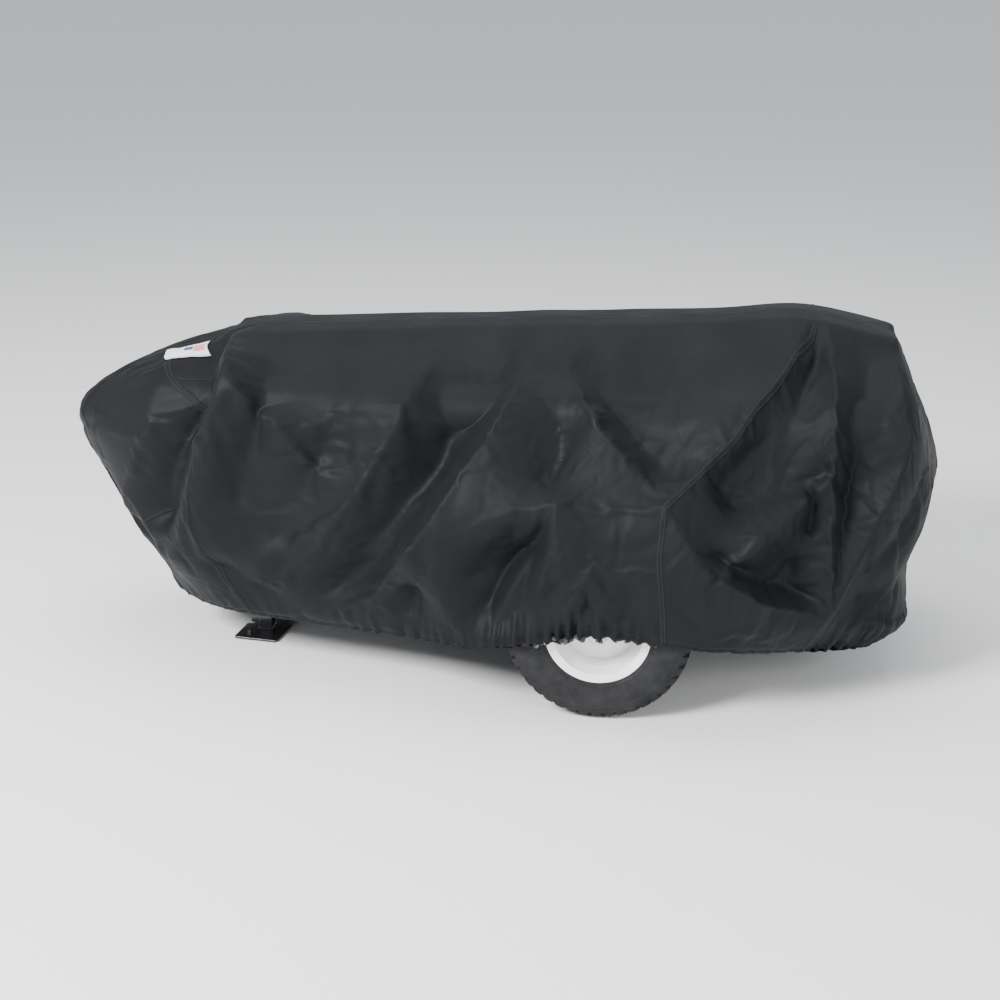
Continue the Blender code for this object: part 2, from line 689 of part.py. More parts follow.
def build_driveshafts():
    steel = make_material("shaft_steel", (0.5, 0.5, 0.5), 0.35, 1.0)
    gear_steel = make_material("gear_steel", (0.35, 0.35, 0.36), 0.35, 1.0)
    teeth, mate, distance, face = FIRST_PAIR
    centre = (AXLE_X, 0, AXLE_Z)
    half_tooth = pi / mate

    start, end = CHAIN_X - 0.012, AXLE_X - 0.030
    front = rod("front_shaft", ((start + end) / 2, 0, AXLE_Z), "x", SHAFT_R, end - start, steel)
    front_pinion = bevel_gear("front_pinion", mate, teeth, distance, face, SHAFT_R + GAP, 0.008, centre,
                              (0, -pi / 2, 0), gear_steel, first_tooth=pi / 2 + half_tooth)
    low = sprocket("lower_sprocket", 12, 0.031, (CHAIN_X, 0, AXLE_Z), SHAFT_R + GAP, gear_steel)
    joint_empty("front_shaft_joint", centre, [front, front_pinion, low])

    start, end = AXLE_X + 0.030, SPINNER_X - 0.012
    rear = rod("rear_shaft", ((start + end) / 2, 0, AXLE_Z), "x", SHAFT_R, end - start, steel)
    rear_pinion = bevel_gear("rear_pinion", mate, teeth, distance, face, SHAFT_R + GAP, 0.008, centre,
                             (0, pi / 2, 0), gear_steel, first_tooth=pi / 2 + half_tooth)
    teeth, mate, distance, face = SECOND_PAIR
    spinner_centre = (SPINNER_X, 0, AXLE_Z)
    spinner_gear = bevel_gear("spinner_drive_gear", teeth, mate, distance, face, SHAFT_R + GAP, 0.008,
                              spinner_centre, (0, -pi / 2, 0), gear_steel)
    joint_empty("rear_shaft_joint", centre, [rear, rear_pinion, spinner_gear])

    bottom, top = AXLE_Z + 0.014, 0.2985
    shaft = rod("spinner_shaft", (SPINNER_X, 0, (bottom + top) / 2), "z", SHAFT_R, top - bottom, steel)
    pinion = bevel_gear("spinner_pinion", mate, teeth, distance, face, SHAFT_R + GAP, 0.006, spinner_centre,
                        (0, 0, 0), gear_steel, first_tooth=pi / mate)
    disc = spinner_disc(make_material("spinner_steel", (0.6, 0.6, 0.6), 0.3, 1.0))
    joint_empty("spinner_joint", spinner_centre, [shaft, pinion, disc])


def build_auger():
    steel = make_material("auger_steel", (0.4, 0.39, 0.38), 0.45, 1.0)
    start, end = CHAIN_X - 0.012, HOPPER_REAR_X + 0.018
    shaft = rod("auger_shaft", ((start + end) / 2, 0, AUGER_Z), "x", SHAFT_R, end - start, steel)
    high = sprocket("upper_sprocket", 18, 0.046, (CHAIN_X, 0, AUGER_Z), SHAFT_R + GAP, steel)
    joint_empty("auger_joint", (0, 0, AUGER_Z), [shaft, auger_flight(steel), high])


def build_frame():
    black = make_material("black_powder_coat", (0.015, 0.015, 0.016), 0.35)
    iron = make_material("cast_iron_grey", (0.2, 0.2, 0.21), 0.6, 0.3)
    side_rail("left_side_rail", -1, black)
    side_rail("right_side_rail", 1, black)
    crossmember("front_crossmember", -0.440, black)
    crossmember("rear_crossmember", 0.790, black)
    hanger_bearing("left_axle_bearing", AXLE_X, -RAIL_Y, AXLE_R, 0.017, "y", iron)
    hanger_bearing("right_axle_bearing", AXLE_X, RAIL_Y, AXLE_R, 0.017, "y", iron)
    hanger_bearing("front_shaft_bearing", -0.440, 0, SHAFT_R, 0.017, "x", iron)
    coupler(black)
    joint_empty("latch_joint", (-0.825, 0, 0.5074),
                [coupler_latch(make_material("latch_zinc", (0.6, 0.6, 0.58), 0.35, 0.9))])


def gearbox(name, low, high, wall, bores, material):
    """A closed housing round a gear pair, open only where its shafts leave it."""
    housing = box(name, low, high, material)
    inside = [Vector(low) + Vector((wall, wall, wall)), Vector(high) - Vector((wall, wall, wall))]
    boolean(housing, box(name + "_room", *inside, is_cutter=True))
    for i, (centre, axis, radius, length) in enumerate(bores):
        boolean(housing, rod(f"{name}_bore_{i}", centre, axis, radius + GAP, length, is_cutter=True))
    return housing


def build_gearboxes():
    iron = make_material("gearbox_iron", (0.16, 0.17, 0.18), 0.55, 0.3)
    black = make_material("bracket_black", (0.015, 0.015, 0.016), 0.35)
    centre = (AXLE_X, 0, AXLE_Z)
    gearbox("axle_gearbox", (AXLE_X - 0.076, -0.036, AXLE_Z - 0.060), (AXLE_X + 0.076, 0.052, AXLE_Z + 0.060),
            0.004, [(centre, "y", AXLE_R, 0.3), (centre, "x", SHAFT_R, 0.3)], iron)
    centre = (SPINNER_X, 0, AXLE_Z)
    gearbox("spinner_gearbox", (SPINNER_X - 0.040, -0.048, AXLE_Z - 0.048),
            (SPINNER_X + 0.032, 0.048, AXLE_Z + 0.058), 0.004,
            [((SPINNER_X - 0.04, 0, AXLE_Z), "x", SHAFT_R, 0.04),
             ((SPINNER_X, 0, AXLE_Z + 0.058), "z", SHAFT_R, 0.04)], iron)
    reach = RAIL_Y - RAIL_R - GAP
    top = AXLE_Z + 0.060 + GAP
    box("axle_gearbox_strap", (AXLE_X - 0.030, -reach, top), (AXLE_X + 0.030, reach, top + 0.010), black)
    top = AXLE_Z + 0.058 + GAP
    box("spinner_gearbox_strap", (SPINNER_X - 0.038, -reach, top),
        (SPINNER_X - 0.014, reach, top + 0.008), black)


def build_chain_case():
    steel = make_material("chain_steel", (0.3, 0.28, 0.25), 0.5, 1.0)
    black = make_material("guard_black", (0.02, 0.02, 0.02), 0.4)
    rise = AUGER_Z - AXLE_Z
    place = (CHAIN_X, 0, AXLE_Z)
    chain = [belt_outline(0.0358, 0.0508, rise), belt_outline(0.0318, 0.0468, rise)]
    plate("drive_chain", chain, 0.008, place, "yz", steel)
    deep = (-0.560, -0.5055)
    middle = ((deep[0] + deep[1]) / 2, 0, AXLE_Z)
    guard = as_mesh(plate("chain_guard", [belt_outline(0.042, 0.057, rise)], deep[1] - deep[0], middle, "yz",
                          black))
    room = as_mesh(plate("guard_room", [belt_outline(0.039, 0.054, rise)], deep[1] - deep[0],
                         (middle[0] + 0.003, 0, AXLE_Z), "yz", is_cutter=True))
    boolean(guard, room)


def build_hopper():
    paint = make_material("hopper_enamel", (0.10, 0.10, 0.11), 0.4)
    black = make_material("cradle_black", (0.015, 0.015, 0.016), 0.35)
    tube_steel = make_material("bow_zinc", (0.5, 0.5, 0.5), 0.35, 0.9)
    board = make_material("ridge_galvanised", (0.5, 0.5, 0.5), 0.45, 0.8)
    hopper_trough(paint)
    hopper_wall("hopper_front_wall", HOPPER_FRONT_X - SHEET / 2 - GAP, paint)
    hopper_wall("hopper_rear_wall", HOPPER_REAR_X + SHEET / 2 + GAP, paint)
    for name, x in (("front_cradle", -0.300), ("middle_cradle", 0.100), ("rear_cradle", 0.520)):
        cradle(name, x, black)
    ridge_board(board)
    for name, x in (("front_bow", -0.470), ("middle_bow", 0.180), ("rear_bow", 0.820)):
        ridge_bow(name, x, tube_steel)


def build_spreading():
    stainless = make_material("stainless_sheet", (0.6, 0.6, 0.6), 0.3, 1.0)
    rubber = make_material("flap_rubber", (0.03, 0.03, 0.03), 0.7)
    black = make_material("hinge_black", (0.02, 0.02, 0.02), 0.4)
    discharge_chute(stainless)
    joint_empty("gate_joint", (OUTLET[0], 0, 0.32), [feed_gate(stainless)])
    joint_empty("deflector_joint", (0.869, 0, 0.360), [spinner_deflector(rubber)])
    rod("deflector_pin", (0.869, 0, 0.360), "y", 0.005, 0.350, black, segments=16)


def build_stand():
    gloss = make_material("gloss_black", (0.01, 0.01, 0.01), 0.15)
    zinc = make_material("screw_zinc", (0.6, 0.6, 0.58), 0.35, 0.9)
    leg_low = 0.006 + GAP
    leg = box("stand_leg", (STAND_X - STAND_TUBE, STAND_Y - STAND_TUBE, leg_low),
              (STAND_X + STAND_TUBE, STAND_Y + STAND_TUBE, STAND_TOP_Z), gloss, rounding=0.003)
    foot = box("stand_foot", (STAND_X - 0.056, STAND_Y - 0.080, 0),
               (STAND_X + 0.056, STAND_Y + 0.080, 0.006), gloss, rounding=0.0015)
    joint_empty("stand_joint", (STAND_X, STAND_Y, 0), [leg, foot])
    inner, outer = STAND_TUBE + 2 * GAP, STAND_TUBE + 0.006
    clamp = box("stand_clamp", (STAND_X - outer, STAND_Y - outer, 0.285),
                (STAND_X + outer, STAND_Y + outer, 0.345), gloss)
    boolean(clamp, box("clamp_room", (STAND_X - inner, STAND_Y - inner, 0.25),
                       (STAND_X + inner, STAND_Y + inner, 0.4), is_cutter=True))
    screw_r = 0.006
    screw_z = 0.315
    hole = rod("screw_hole", (STAND_X - outer, STAND_Y, screw_z), "x", screw_r + GAP, 0.03, is_cutter=True)
    boolean(clamp, hole)
    screw_x = STAND_X - STAND_TUBE - 2 * GAP
    middle = (screw_x - 0.030, STAND_Y, screw_z)
    screw = rod("stand_clamp_screw", middle, "x", screw_r, 0.060, zinc, segments=16)
    bar = rod("screw_bar", (screw_x - 0.052, STAND_Y, screw_z), "y", 0.004, 0.036, is_cutter=True)
    boolean(screw, bar, "UNION")
    joint_empty("screw_joint", (screw_x, STAND_Y, screw_z), [screw])


def build_cover():
    fabric = make_material("cover_fabric", (0.02, 0.021, 0.024), 0.6)
    elastic = make_material("elastic_black", (0.012, 0.012, 0.014), 0.8)
    white = make_material("label_white", (0.7, 0.7, 0.7), 0.6)
    front, rear, last = COVER_FRONT_SEAM, COVER_REAR_SEAM, len(COVER_COLUMNS) - 1
    panels = [
        cover_panel("cover_front_panel", 0, front - COVER_SEAM, 6, 9, fabric),
        cover_panel("cover_main_panel", front + COVER_SEAM, rear - COVER_SEAM, 18, 9, fabric, with_top=True),
        cover_panel("cover_rear_panel", rear + COVER_SEAM, last, 3, 9, fabric)]
    joint_empty("cover_joint", (0, 0, 0), panels + [cover_hem(elastic), cover_label(white)])


clear_scene()
PARTS = new_collection("tow_behind_spreader")
CUTTERS = new_collection("cutters")
build_running_gear()
build_driveshafts()
build_auger()
build_frame()
build_gearboxes()
build_chain_case()
build_hopper()
build_spreading()
build_stand()
build_cover()
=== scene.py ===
"""Looks of the tow-behind spreader under its fitted cover. Metres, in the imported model's frame.

The near side of the cover is the machine's left, -Y. The cover's cloth is a net of places counted in
columns round the machine (0 front centre, 9 rear centre) and rows down it (0 ridge edge, 5 hem).
"""

import json
import random
from math import cos, hypot, pi, radians, sin

import bmesh
import bpy
import numpy as np
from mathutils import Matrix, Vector


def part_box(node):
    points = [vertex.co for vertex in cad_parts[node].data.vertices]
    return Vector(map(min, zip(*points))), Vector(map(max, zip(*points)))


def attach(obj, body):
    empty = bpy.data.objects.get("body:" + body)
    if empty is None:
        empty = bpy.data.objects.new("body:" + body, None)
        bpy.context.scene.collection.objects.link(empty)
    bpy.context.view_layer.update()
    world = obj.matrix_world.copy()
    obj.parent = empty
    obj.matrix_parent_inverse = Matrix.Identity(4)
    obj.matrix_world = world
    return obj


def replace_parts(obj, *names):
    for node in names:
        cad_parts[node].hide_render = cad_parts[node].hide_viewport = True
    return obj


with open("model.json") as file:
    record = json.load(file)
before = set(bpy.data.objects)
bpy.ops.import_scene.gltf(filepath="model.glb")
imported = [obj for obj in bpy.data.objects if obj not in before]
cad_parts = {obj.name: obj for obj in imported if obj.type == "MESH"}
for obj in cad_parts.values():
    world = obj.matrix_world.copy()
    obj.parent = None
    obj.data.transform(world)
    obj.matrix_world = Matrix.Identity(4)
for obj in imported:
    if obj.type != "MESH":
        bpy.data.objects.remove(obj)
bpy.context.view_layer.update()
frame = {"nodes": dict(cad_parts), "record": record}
NODES = frame["nodes"]

# Camera and floor
CAMERA_AZIMUTH = radians(8)
CAMERA_ELEVATION = radians(19)
CAMERA_DISTANCE = 4.2
CAMERA_TARGET = Vector((-0.006, 0.0, 0.329))
CAMERA_LENS = 63.7

# The cover's net, as in the CAD model but a little fuller at the nose: rows from the ridge's edge
# to the hem, columns front to rear
COVER_COLUMNS = np.array((
    ((-0.610, 0.000, 0.740), (-0.806, 0.000, 0.684), (-0.996, 0.000, 0.575),
     (-0.992, 0.000, 0.430), (-0.900, 0.000, 0.250), (-0.780, 0.000, 0.100)),
    ((-0.610, -0.045, 0.740), (-0.803, -0.110, 0.670), (-0.978, -0.090, 0.560),
     (-0.975, -0.095, 0.430), (-0.860, -0.160, 0.260), (-0.730, -0.150, 0.105)),
    ((-0.607, -0.085, 0.737), (-0.630, -0.275, 0.676), (-0.665, -0.320, 0.540),
     (-0.655, -0.320, 0.400), (-0.620, -0.300, 0.250), (-0.570, -0.260, 0.115)),
    ((-0.300, -0.085, 0.754), (-0.300, -0.330, 0.680), (-0.290, -0.365, 0.540),
     (-0.280, -0.385, 0.400), (-0.265, -0.375, 0.260), (-0.250, -0.350, 0.125)),
    ((0.050, -0.085, 0.773), (0.040, -0.330, 0.676), (0.030, -0.415, 0.560),
     (0.025, -0.490, 0.430), (0.020, -0.500, 0.300), (0.030, -0.495, 0.165)),
    ((0.270, -0.085, 0.783), (0.270, -0.330, 0.678), (0.270, -0.425, 0.560),
     (0.270, -0.498, 0.430), (0.270, -0.512, 0.320), (0.270, -0.513, 0.215)),
    ((0.500, -0.085, 0.795), (0.505, -0.330, 0.680), (0.515, -0.415, 0.560),
     (0.520, -0.490, 0.420), (0.525, -0.498, 0.300), (0.520, -0.485, 0.180)),
    ((0.680, -0.085, 0.808), (0.710, -0.330, 0.680), (0.730, -0.370, 0.550),
     (0.740, -0.385, 0.420), (0.730, -0.370, 0.280), (0.710, -0.330, 0.130)),
    ((0.868, -0.085, 0.773), (0.900, -0.275, 0.675), (0.935, -0.300, 0.550),
     (0.958, -0.295, 0.420), (0.925, -0.280, 0.260), (0.860, -0.230, 0.120)),
    ((0.872, 0.000, 0.773), (0.925, 0.000, 0.675), (0.985, 0.000, 0.550),
     (1.012, 0.000, 0.440), (0.962, 0.000, 0.260), (0.880, 0.000, 0.110))))
LAST_COLUMN = 9
LAST_ROW = 5
COLUMN_STEPS = 26  # net lines per column
ROW_STEPS = 15  # net lines per row
TOP_STEPS = 6
TUCK_STEPS = 6
SPINE_FRONT_X = -0.545
SPINE_REAR_X = 0.805
TOP_CROWN = 0.004
CREST_HOLD = 0.7
CLOTH_FRAMES = 16
CLOTH_SLACK = -0.012
RIM_CLEARANCE = 0.064  # from a line just inside the hopper's rim out to the cloth
CLOTH_TRAVEL = 0.006  # about how far a place may sag
CLOTH_THICKNESS = 0.0012
MERGE_DISTANCE = 0.00002
ALL_SMOOTH = 180  # degrees: no edge of the piece is shaded sharp
COLUMN_WIDTH = 0.24  # about how far apart columns and rows are
ROW_HEIGHT = 0.13
FOLD_SCALE = 2.3
CRISPNESS = 0.6
SLACKNESS = 26
CREASES = ((150, (0.045, 0.130), (0.010, 0.022), (0.0018, 0.0050)),
           (1300, (0.018, 0.070), (0.004, 0.010), (0.0006, 0.0021)))  # count, lengths, widths, heights
EDGE_ROUNDING = 6
TUCK_REACH = 0.050
TUCK_AT_WHEEL = 0.014
TUCK_DIP = 0.010
TUCK_RISE = 0.012
HEM_RADIUS = 0.0055

# Folds on the near side: (column, row, how far the cloth stands out in millimetres before FOLD_SCALE)
NEAR_FOLDS = (
    # stretched corner of the hopper, with ridges that run from it
    ((2.02, 0.10, 6), (2.23, 0.93, 30), (2.20, 1.73, 22), (2.07, 2.62, 20), (1.87, 3.53, 18),
     (1.64, 4.00, 14)),
    ((2.23, 0.93, 30), (2.55, 1.50, 16), (2.83, 2.35, 6)),
    ((1.92, 0.25, -14), (2.02, 1.05, -26), (1.96, 1.70, -32), (1.84, 2.48, -30), (1.68, 3.45, -22)),
    ((2.45, 0.55, -8), (2.50, 1.05, -12), (2.42, 1.90, -14), (2.30, 2.80, -12)),
    ((1.28, 0.88, 4), (1.62, 1.28, 8), (1.74, 1.90, 10), (1.60, 2.80, 12), (1.30, 3.60, 8)),
    # long slack diagonals down the side
    ((3.97, 0.28, -8), (3.80, 1.05, -30), (3.53, 2.10, -36), (3.20, 3.12, -24), (2.95, 3.75, -8)),
    ((4.25, 0.23, 2), (4.12, 0.80, 10), (3.92, 1.90, 14), (3.62, 2.95, 16), (3.48, 3.30, 20)),
    ((3.50, 0.23, 2), (3.38, 1.38, 12), (3.10, 2.50, 14), (2.80, 3.40, 14), (2.35, 4.25, 10)),
    ((2.95, 0.40, -4), (2.92, 1.50, -12), (2.72, 2.50, -14), (2.50, 3.40, -10)),
    ((4.50, 0.50, 2), (4.85, 1.20, 16), (5.12, 1.75, 14), (5.35, 2.23, 8)),
    ((4.66, 0.50, -4), (5.05, 1.10, -16), (5.40, 1.75, -14), (5.60, 2.15, -6)),
    ((4.55, 1.30, -14), (4.60, 1.90, -18), (4.50, 2.30, -14)),
    ((4.53, 0.05, 0), (4.90, 0.28, -8), (5.43, 0.50, -6)),
    # rear seam, running down and forward
    ((7.05, 0.05, 2), (6.83, 0.45, 10), (6.35, 1.12, 14), (6.05, 1.68, 14), (5.53, 2.55, 18)),
    ((7.12, 0.35, -12), (6.70, 1.05, -14), (6.30, 1.62, -16), (5.95, 2.20, -14)),
    # knee over the front of the wheel
    ((4.60, 2.60, 20), (4.30, 2.70, 12), (4.03, 2.85, 8), (3.80, 3.08, 4)),
    ((4.60, 2.60, 20), (4.85, 2.66, 10), (5.20, 2.62, 10), (5.53, 2.55, 18)),
    ((4.53, 2.84, -18), (4.38, 3.30, -38), (4.20, 3.75, -42), (3.95, 4.45, -30)),
    ((4.25, 2.95, -16), (4.05, 3.40, -24), (3.90, 3.90, -26)),
    # tent over the hem in front of the wheel
    ((3.48, 3.30, 24), (3.34, 3.75, 18), (3.18, 4.12, 16), (2.75, 4.65, 8)),
    ((3.48, 3.30, 24), (3.58, 3.80, 12), (3.70, 4.20, 8), (3.80, 4.67, 4)),
    ((3.28, 3.30, -8), (3.02, 3.80, -18), (2.80, 4.25, -14)),
    ((3.42, 4.05, -18), (3.36, 4.50, -14)),
    ((1.64, 4.00, 14), (1.90, 4.08, 6), (2.10, 4.38, 2)),
    ((2.05, 4.00, -8), (2.40, 4.40, -6)),
    # bulge over the wheel
    ((4.60, 2.62, 18), (4.62, 3.10, 14), (4.58, 3.50, 10), (4.50, 4.05, 4)),
    ((5.03, 3.35, 9), (4.90, 3.80, 12), (4.83, 4.05, 12), (4.67, 4.75, 4)),
    ((4.98, 3.75, 12), (5.03, 4.28, 9), (4.98, 4.90, 3)),
    ((4.92, 4.00, 2), (4.93, 4.35, -3), (4.80, 4.85, -2)),
    ((5.30, 3.45, 12), (5.48, 3.78, 12), (5.53, 4.10, 13), (5.45, 4.83, 4)),
    ((5.24, 3.70, 3), (5.30, 4.12, -2), (5.25, 4.60, -2)),
    ((4.66, 3.95, -2), (4.58, 4.50, -4)),
    ((4.33, 4.03, -18), (4.40, 4.48, -12), (4.48, 4.88, -4)),
    # smooth flap behind the wheel
    ((5.53, 2.55, 18), (5.70, 2.95, 16), (5.83, 3.30, 17), (6.38, 4.00, 19), (7.05, 4.23, 26)),
    ((5.78, 3.05, 15), (5.62, 3.55, 10), (5.53, 4.10, 13)),
    ((5.95, 3.12, -16), (6.45, 3.72, -20), (6.85, 4.02, -14)),
    # ridges that run up from the gathered point behind it
    ((7.05, 4.23, 26), (7.00, 3.10, 16), (7.05, 2.12, 14), (7.18, 0.90, 12), (7.23, 0.10, 4)),
    ((7.05, 4.23, 26), (7.20, 2.45, -22), (7.42, 1.15, -14), (7.60, 0.40, -6)),
    ((7.05, 4.23, 26), (7.38, 2.95, 14), (7.83, 1.48, 10), (7.95, 0.40, 6)),
    ((7.05, 4.23, 26), (7.62, 3.20, -12), (8.05, 2.30, -8)),
    ((5.93, 3.55, 4), (6.45, 2.83, 12), (7.05, 2.12, 14)),
    ((6.12, 2.38, -22), (6.60, 2.27, -10), (7.00, 2.00, -4)),
    ((7.05, 4.23, 26), (6.75, 3.60, -20), (6.50, 3.05, -12)),
    ((6.88, 2.95, -18), (6.86, 2.30, -10)),
    # pinch above the gathered bundle at the rear, and the bundle
    ((7.40, 4.02, -6), (8.20, 3.95, -14), (9.00, 3.90, -16)),
    ((7.30, 4.50, 8), (8.20, 4.52, 15), (9.00, 4.50, 17)),
    # hollow under the nose
    ((0.00, 3.20, -4), (0.60, 3.10, -10), (1.05, 3.40, -18), (1.25, 4.20, -16)),
)
# The far side hangs in its own way, from the same supports
FAR_FOLDS = (
    ((2.05, 0.10, 2), (2.25, 0.95, 10), (2.35, 1.90, 18), (2.30, 3.00, 16), (2.05, 4.00, 10)),
    ((2.25, 0.95, 10), (2.70, 1.80, 10), (3.05, 2.80, 4)),
    ((1.95, 0.60, -16), (1.98, 1.60, -24), (1.85, 2.70, -26), (1.70, 3.60, -16)),
    ((2.60, 0.90, -10), (2.75, 2.20, -16), (2.75, 3.30, -12)),
    ((3.30, 0.30, 2), (3.25, 1.30, 12), (3.00, 2.60, 12), (2.70, 3.90, 10)),
    ((3.75, 0.40, -8), (3.62, 1.30, -26), (3.40, 2.40, -30), (3.20, 3.50, -14)),
    ((4.15, 0.30, 2), (4.05, 1.20, 12), (3.90, 2.30, 16), (3.75, 3.30, 18), (3.50, 4.40, 8)),
    ((4.70, 0.60, -6), (4.60, 1.50, -18), (4.45, 2.30, -14)),
    ((5.30, 0.40, 2), (5.25, 1.30, 14), (5.10, 2.20, 14), (4.75, 2.65, 18)),
    ((4.75, 2.65, 18), (4.35, 2.80, 10), (4.00, 3.10, 4)),
    ((4.75, 2.65, 18), (5.25, 2.60, 10), (5.60, 2.60, 16)),
    ((4.45, 3.00, -16), (4.30, 3.60, -32), (4.10, 4.30, -24)),
    ((5.75, 0.60, -8), (5.85, 1.60, -20), (5.80, 2.30, -12)),
    ((6.50, 0.40, 4), (6.30, 1.30, 12), (6.00, 2.10, 12), (5.60, 2.60, 16)),
    ((5.60, 2.60, 16), (5.80, 3.30, 12), (6.30, 4.00, 12), (6.95, 4.25, 22)),
    ((6.95, 4.25, 22), (6.90, 3.00, 14), (7.00, 1.80, 12), (7.15, 0.40, 6)),
    ((6.95, 4.25, 22), (6.60, 3.20, -18), (6.45, 2.30, -14)),
    ((6.95, 4.25, 22), (7.30, 2.80, -18), (7.50, 1.30, -12)),
    ((6.95, 4.25, 22), (7.55, 3.10, 12), (7.90, 1.50, 10)),
    ((4.46, 4.20, 6), (4.60, 3.30, 10), (5.03, 3.04, 12), (5.45, 3.25, 10), (5.60, 4.00, 4)),
)


# ---- the cover's cloth ----

def spline_weights(count, places):
    """Rows of weights that carry `count` points to a smooth curve through them at these places."""
    table = np.zeros((len(places), count))
    for row, place in zip(table, places):
        i = min(int(place), count - 2)
        u = place - i
        start, end = 2 * u**3 - 3 * u**2 + 1, 3 * u**2 - 2 * u**3
        leave, arrive = u**3 - 2 * u**2 + u, u**3 - u**2
        row[i] += start
        row[i + 1] += end
        for slope, at in ((leave, i), (arrive, i + 1)):
            before, after = max(at - 1, 0), min(at + 1, count - 1)
            share = slope / (after - before)
            row[after] += share
            row[before] -= share
    return table


def stretched_skin(fixed, held, rounds=1400):
    """Fills a net, closed from side to side, between its held places, as a stretched skin would."""
    field = np.where(held, fixed, 0.0)
    for _ in range(rounds):
        above = np.vstack((field[:1], field[:-1]))
        below = np.vstack((field[1:], field[-1:]))
        spread = (np.roll(field, 1, 1) + np.roll(field, -1, 1) + above + below) / 4
        field = np.where(held, fixed, spread)
    return field


def blurred(field, rounds):
    for _ in range(rounds):
        above = np.vstack((field[:1], field[:-1]))
        below = np.vstack((field[1:], field[-1:]))
        field = field / 2 + (np.roll(field, 1, 1) + np.roll(field, -1, 1) + above + below) / 8
    return field


def ring_of(near):
    """The near half of a net and its mirror image, as one closed ring of columns."""
    far = near[:, -2:0:-1] * np.array((1, -1, 1))
    return np.concatenate((near, far), axis=1)


def net_normals(net):
    """Outward unit normals of a closed net of places."""
    along = np.roll(net, -1, 1) - np.roll(net, 1, 1)
    down = np.gradient(net, axis=0)
    normals = np.cross(down, along)
    size = np.linalg.norm(normals, axis=2, keepdims=True)
    normals = normals / np.maximum(size, 1e-9)
    outward = net - np.array((0.1, 0.0, 0.35))
    if (normals * outward).sum() < 0:
        normals = -normals
    return normals


def mark_folds(folds, is_far, fixed, held, firm):
    """Writes each fold's height, in metres, on the net's places along it."""
    ring = fixed.shape[1]
    for fold in folds:
        for (s0, t0, d0), (s1, t1, d1) in zip(fold, fold[1:]):
            steps = int(max(abs(s1 - s0) * COLUMN_STEPS, abs(t1 - t0) * ROW_STEPS)) + 1
            for k in range(steps + 1):
                share = k / steps
                column = round((s0 + (s1 - s0) * share) * COLUMN_STEPS)
                row = round((t0 + (t1 - t0) * share) * ROW_STEPS)
                place = row, (-column if is_far else column) % ring
                height = (d0 + (d1 - d0) * share) / 1000
                fixed[place] = height
                held[place] = True
                firm[place] = height > 0.009


def base_net():
    """The smooth cover: places (rows, ring of columns, xyz) from the ridge's edge down to the hem."""
    columns = np.linspace(0, LAST_COLUMN, LAST_COLUMN * COLUMN_STEPS + 1)
    rows = np.linspace(0, LAST_ROW, LAST_ROW * ROW_STEPS + 1)
    across = spline_weights(LAST_COLUMN + 1, columns)
    down = spline_weights(LAST_ROW + 1, rows)
    return ring_of(np.einsum("ai,ijk,bj->bak", across, COVER_COLUMNS, down))


def folded_net():
    """The base net with its folds, and which of its places the machine props up."""
    net = base_net()
    fixed = np.zeros(net.shape[:2])
    held = np.zeros(net.shape[:2], bool)
    firm = np.zeros(net.shape[:2], bool)
    held[0] = True
    held[-1] = True
    mark_folds(FAR_FOLDS, True, fixed, held, firm)
    mark_folds(NEAR_FOLDS, False, fixed, held, firm)
    sharp = blurred(stretched_skin(fixed, held), 1)
    heights = CRISPNESS * sharp + (1 - CRISPNESS) * blurred(sharp, SLACKNESS)
    return net + net_normals(net) * (FOLD_SCALE * heights)[..., None], firm


def with_top(net):
    """Adds the rows that close the cover over the ridge, from its middle line out to its edge."""
    edge = net[0]
    half = LAST_COLUMN * COLUMN_STEPS * (net.shape[1] // (2 * LAST_COLUMN * COLUMN_STEPS))
    near = edge[: half + 1]
    order = np.argsort(near[:, 0])
    middle = edge.copy()
    middle[:, 0] = np.clip(edge[:, 0], SPINE_FRONT_X, SPINE_REAR_X)
    middle[:, 1] = 0
    middle[:, 2] = np.interp(middle[:, 0], near[order, 0], near[order, 2]) + TOP_CROWN
    count = TOP_STEPS * half // (LAST_COLUMN * COLUMN_STEPS)
    rows = [middle + (edge - middle) * (k / count) for k in range(count)]
    return np.concatenate((np.array(rows), net), axis=0), count


def net_mesh(name, net):
    """A mesh of a closed net, whose first row is one line seen from both sides."""
    rows, ring = net.shape[:2]
    index = np.arange(rows * ring).reshape(rows, ring)
    beside = np.roll(index, -1, 1)
    quads = np.stack((index[:-1], index[1:], beside[1:], beside[:-1]), axis=-1).reshape(-1, 4)
    mesh = bpy.data.meshes.new(name)
    mesh.from_pydata(net.reshape(-1, 3).tolist(), [], quads.tolist())
    return mesh


def link(name, data):
    obj = bpy.data.objects.new(name, data)
    bpy.context.scene.collection.objects.link(obj)
    return obj


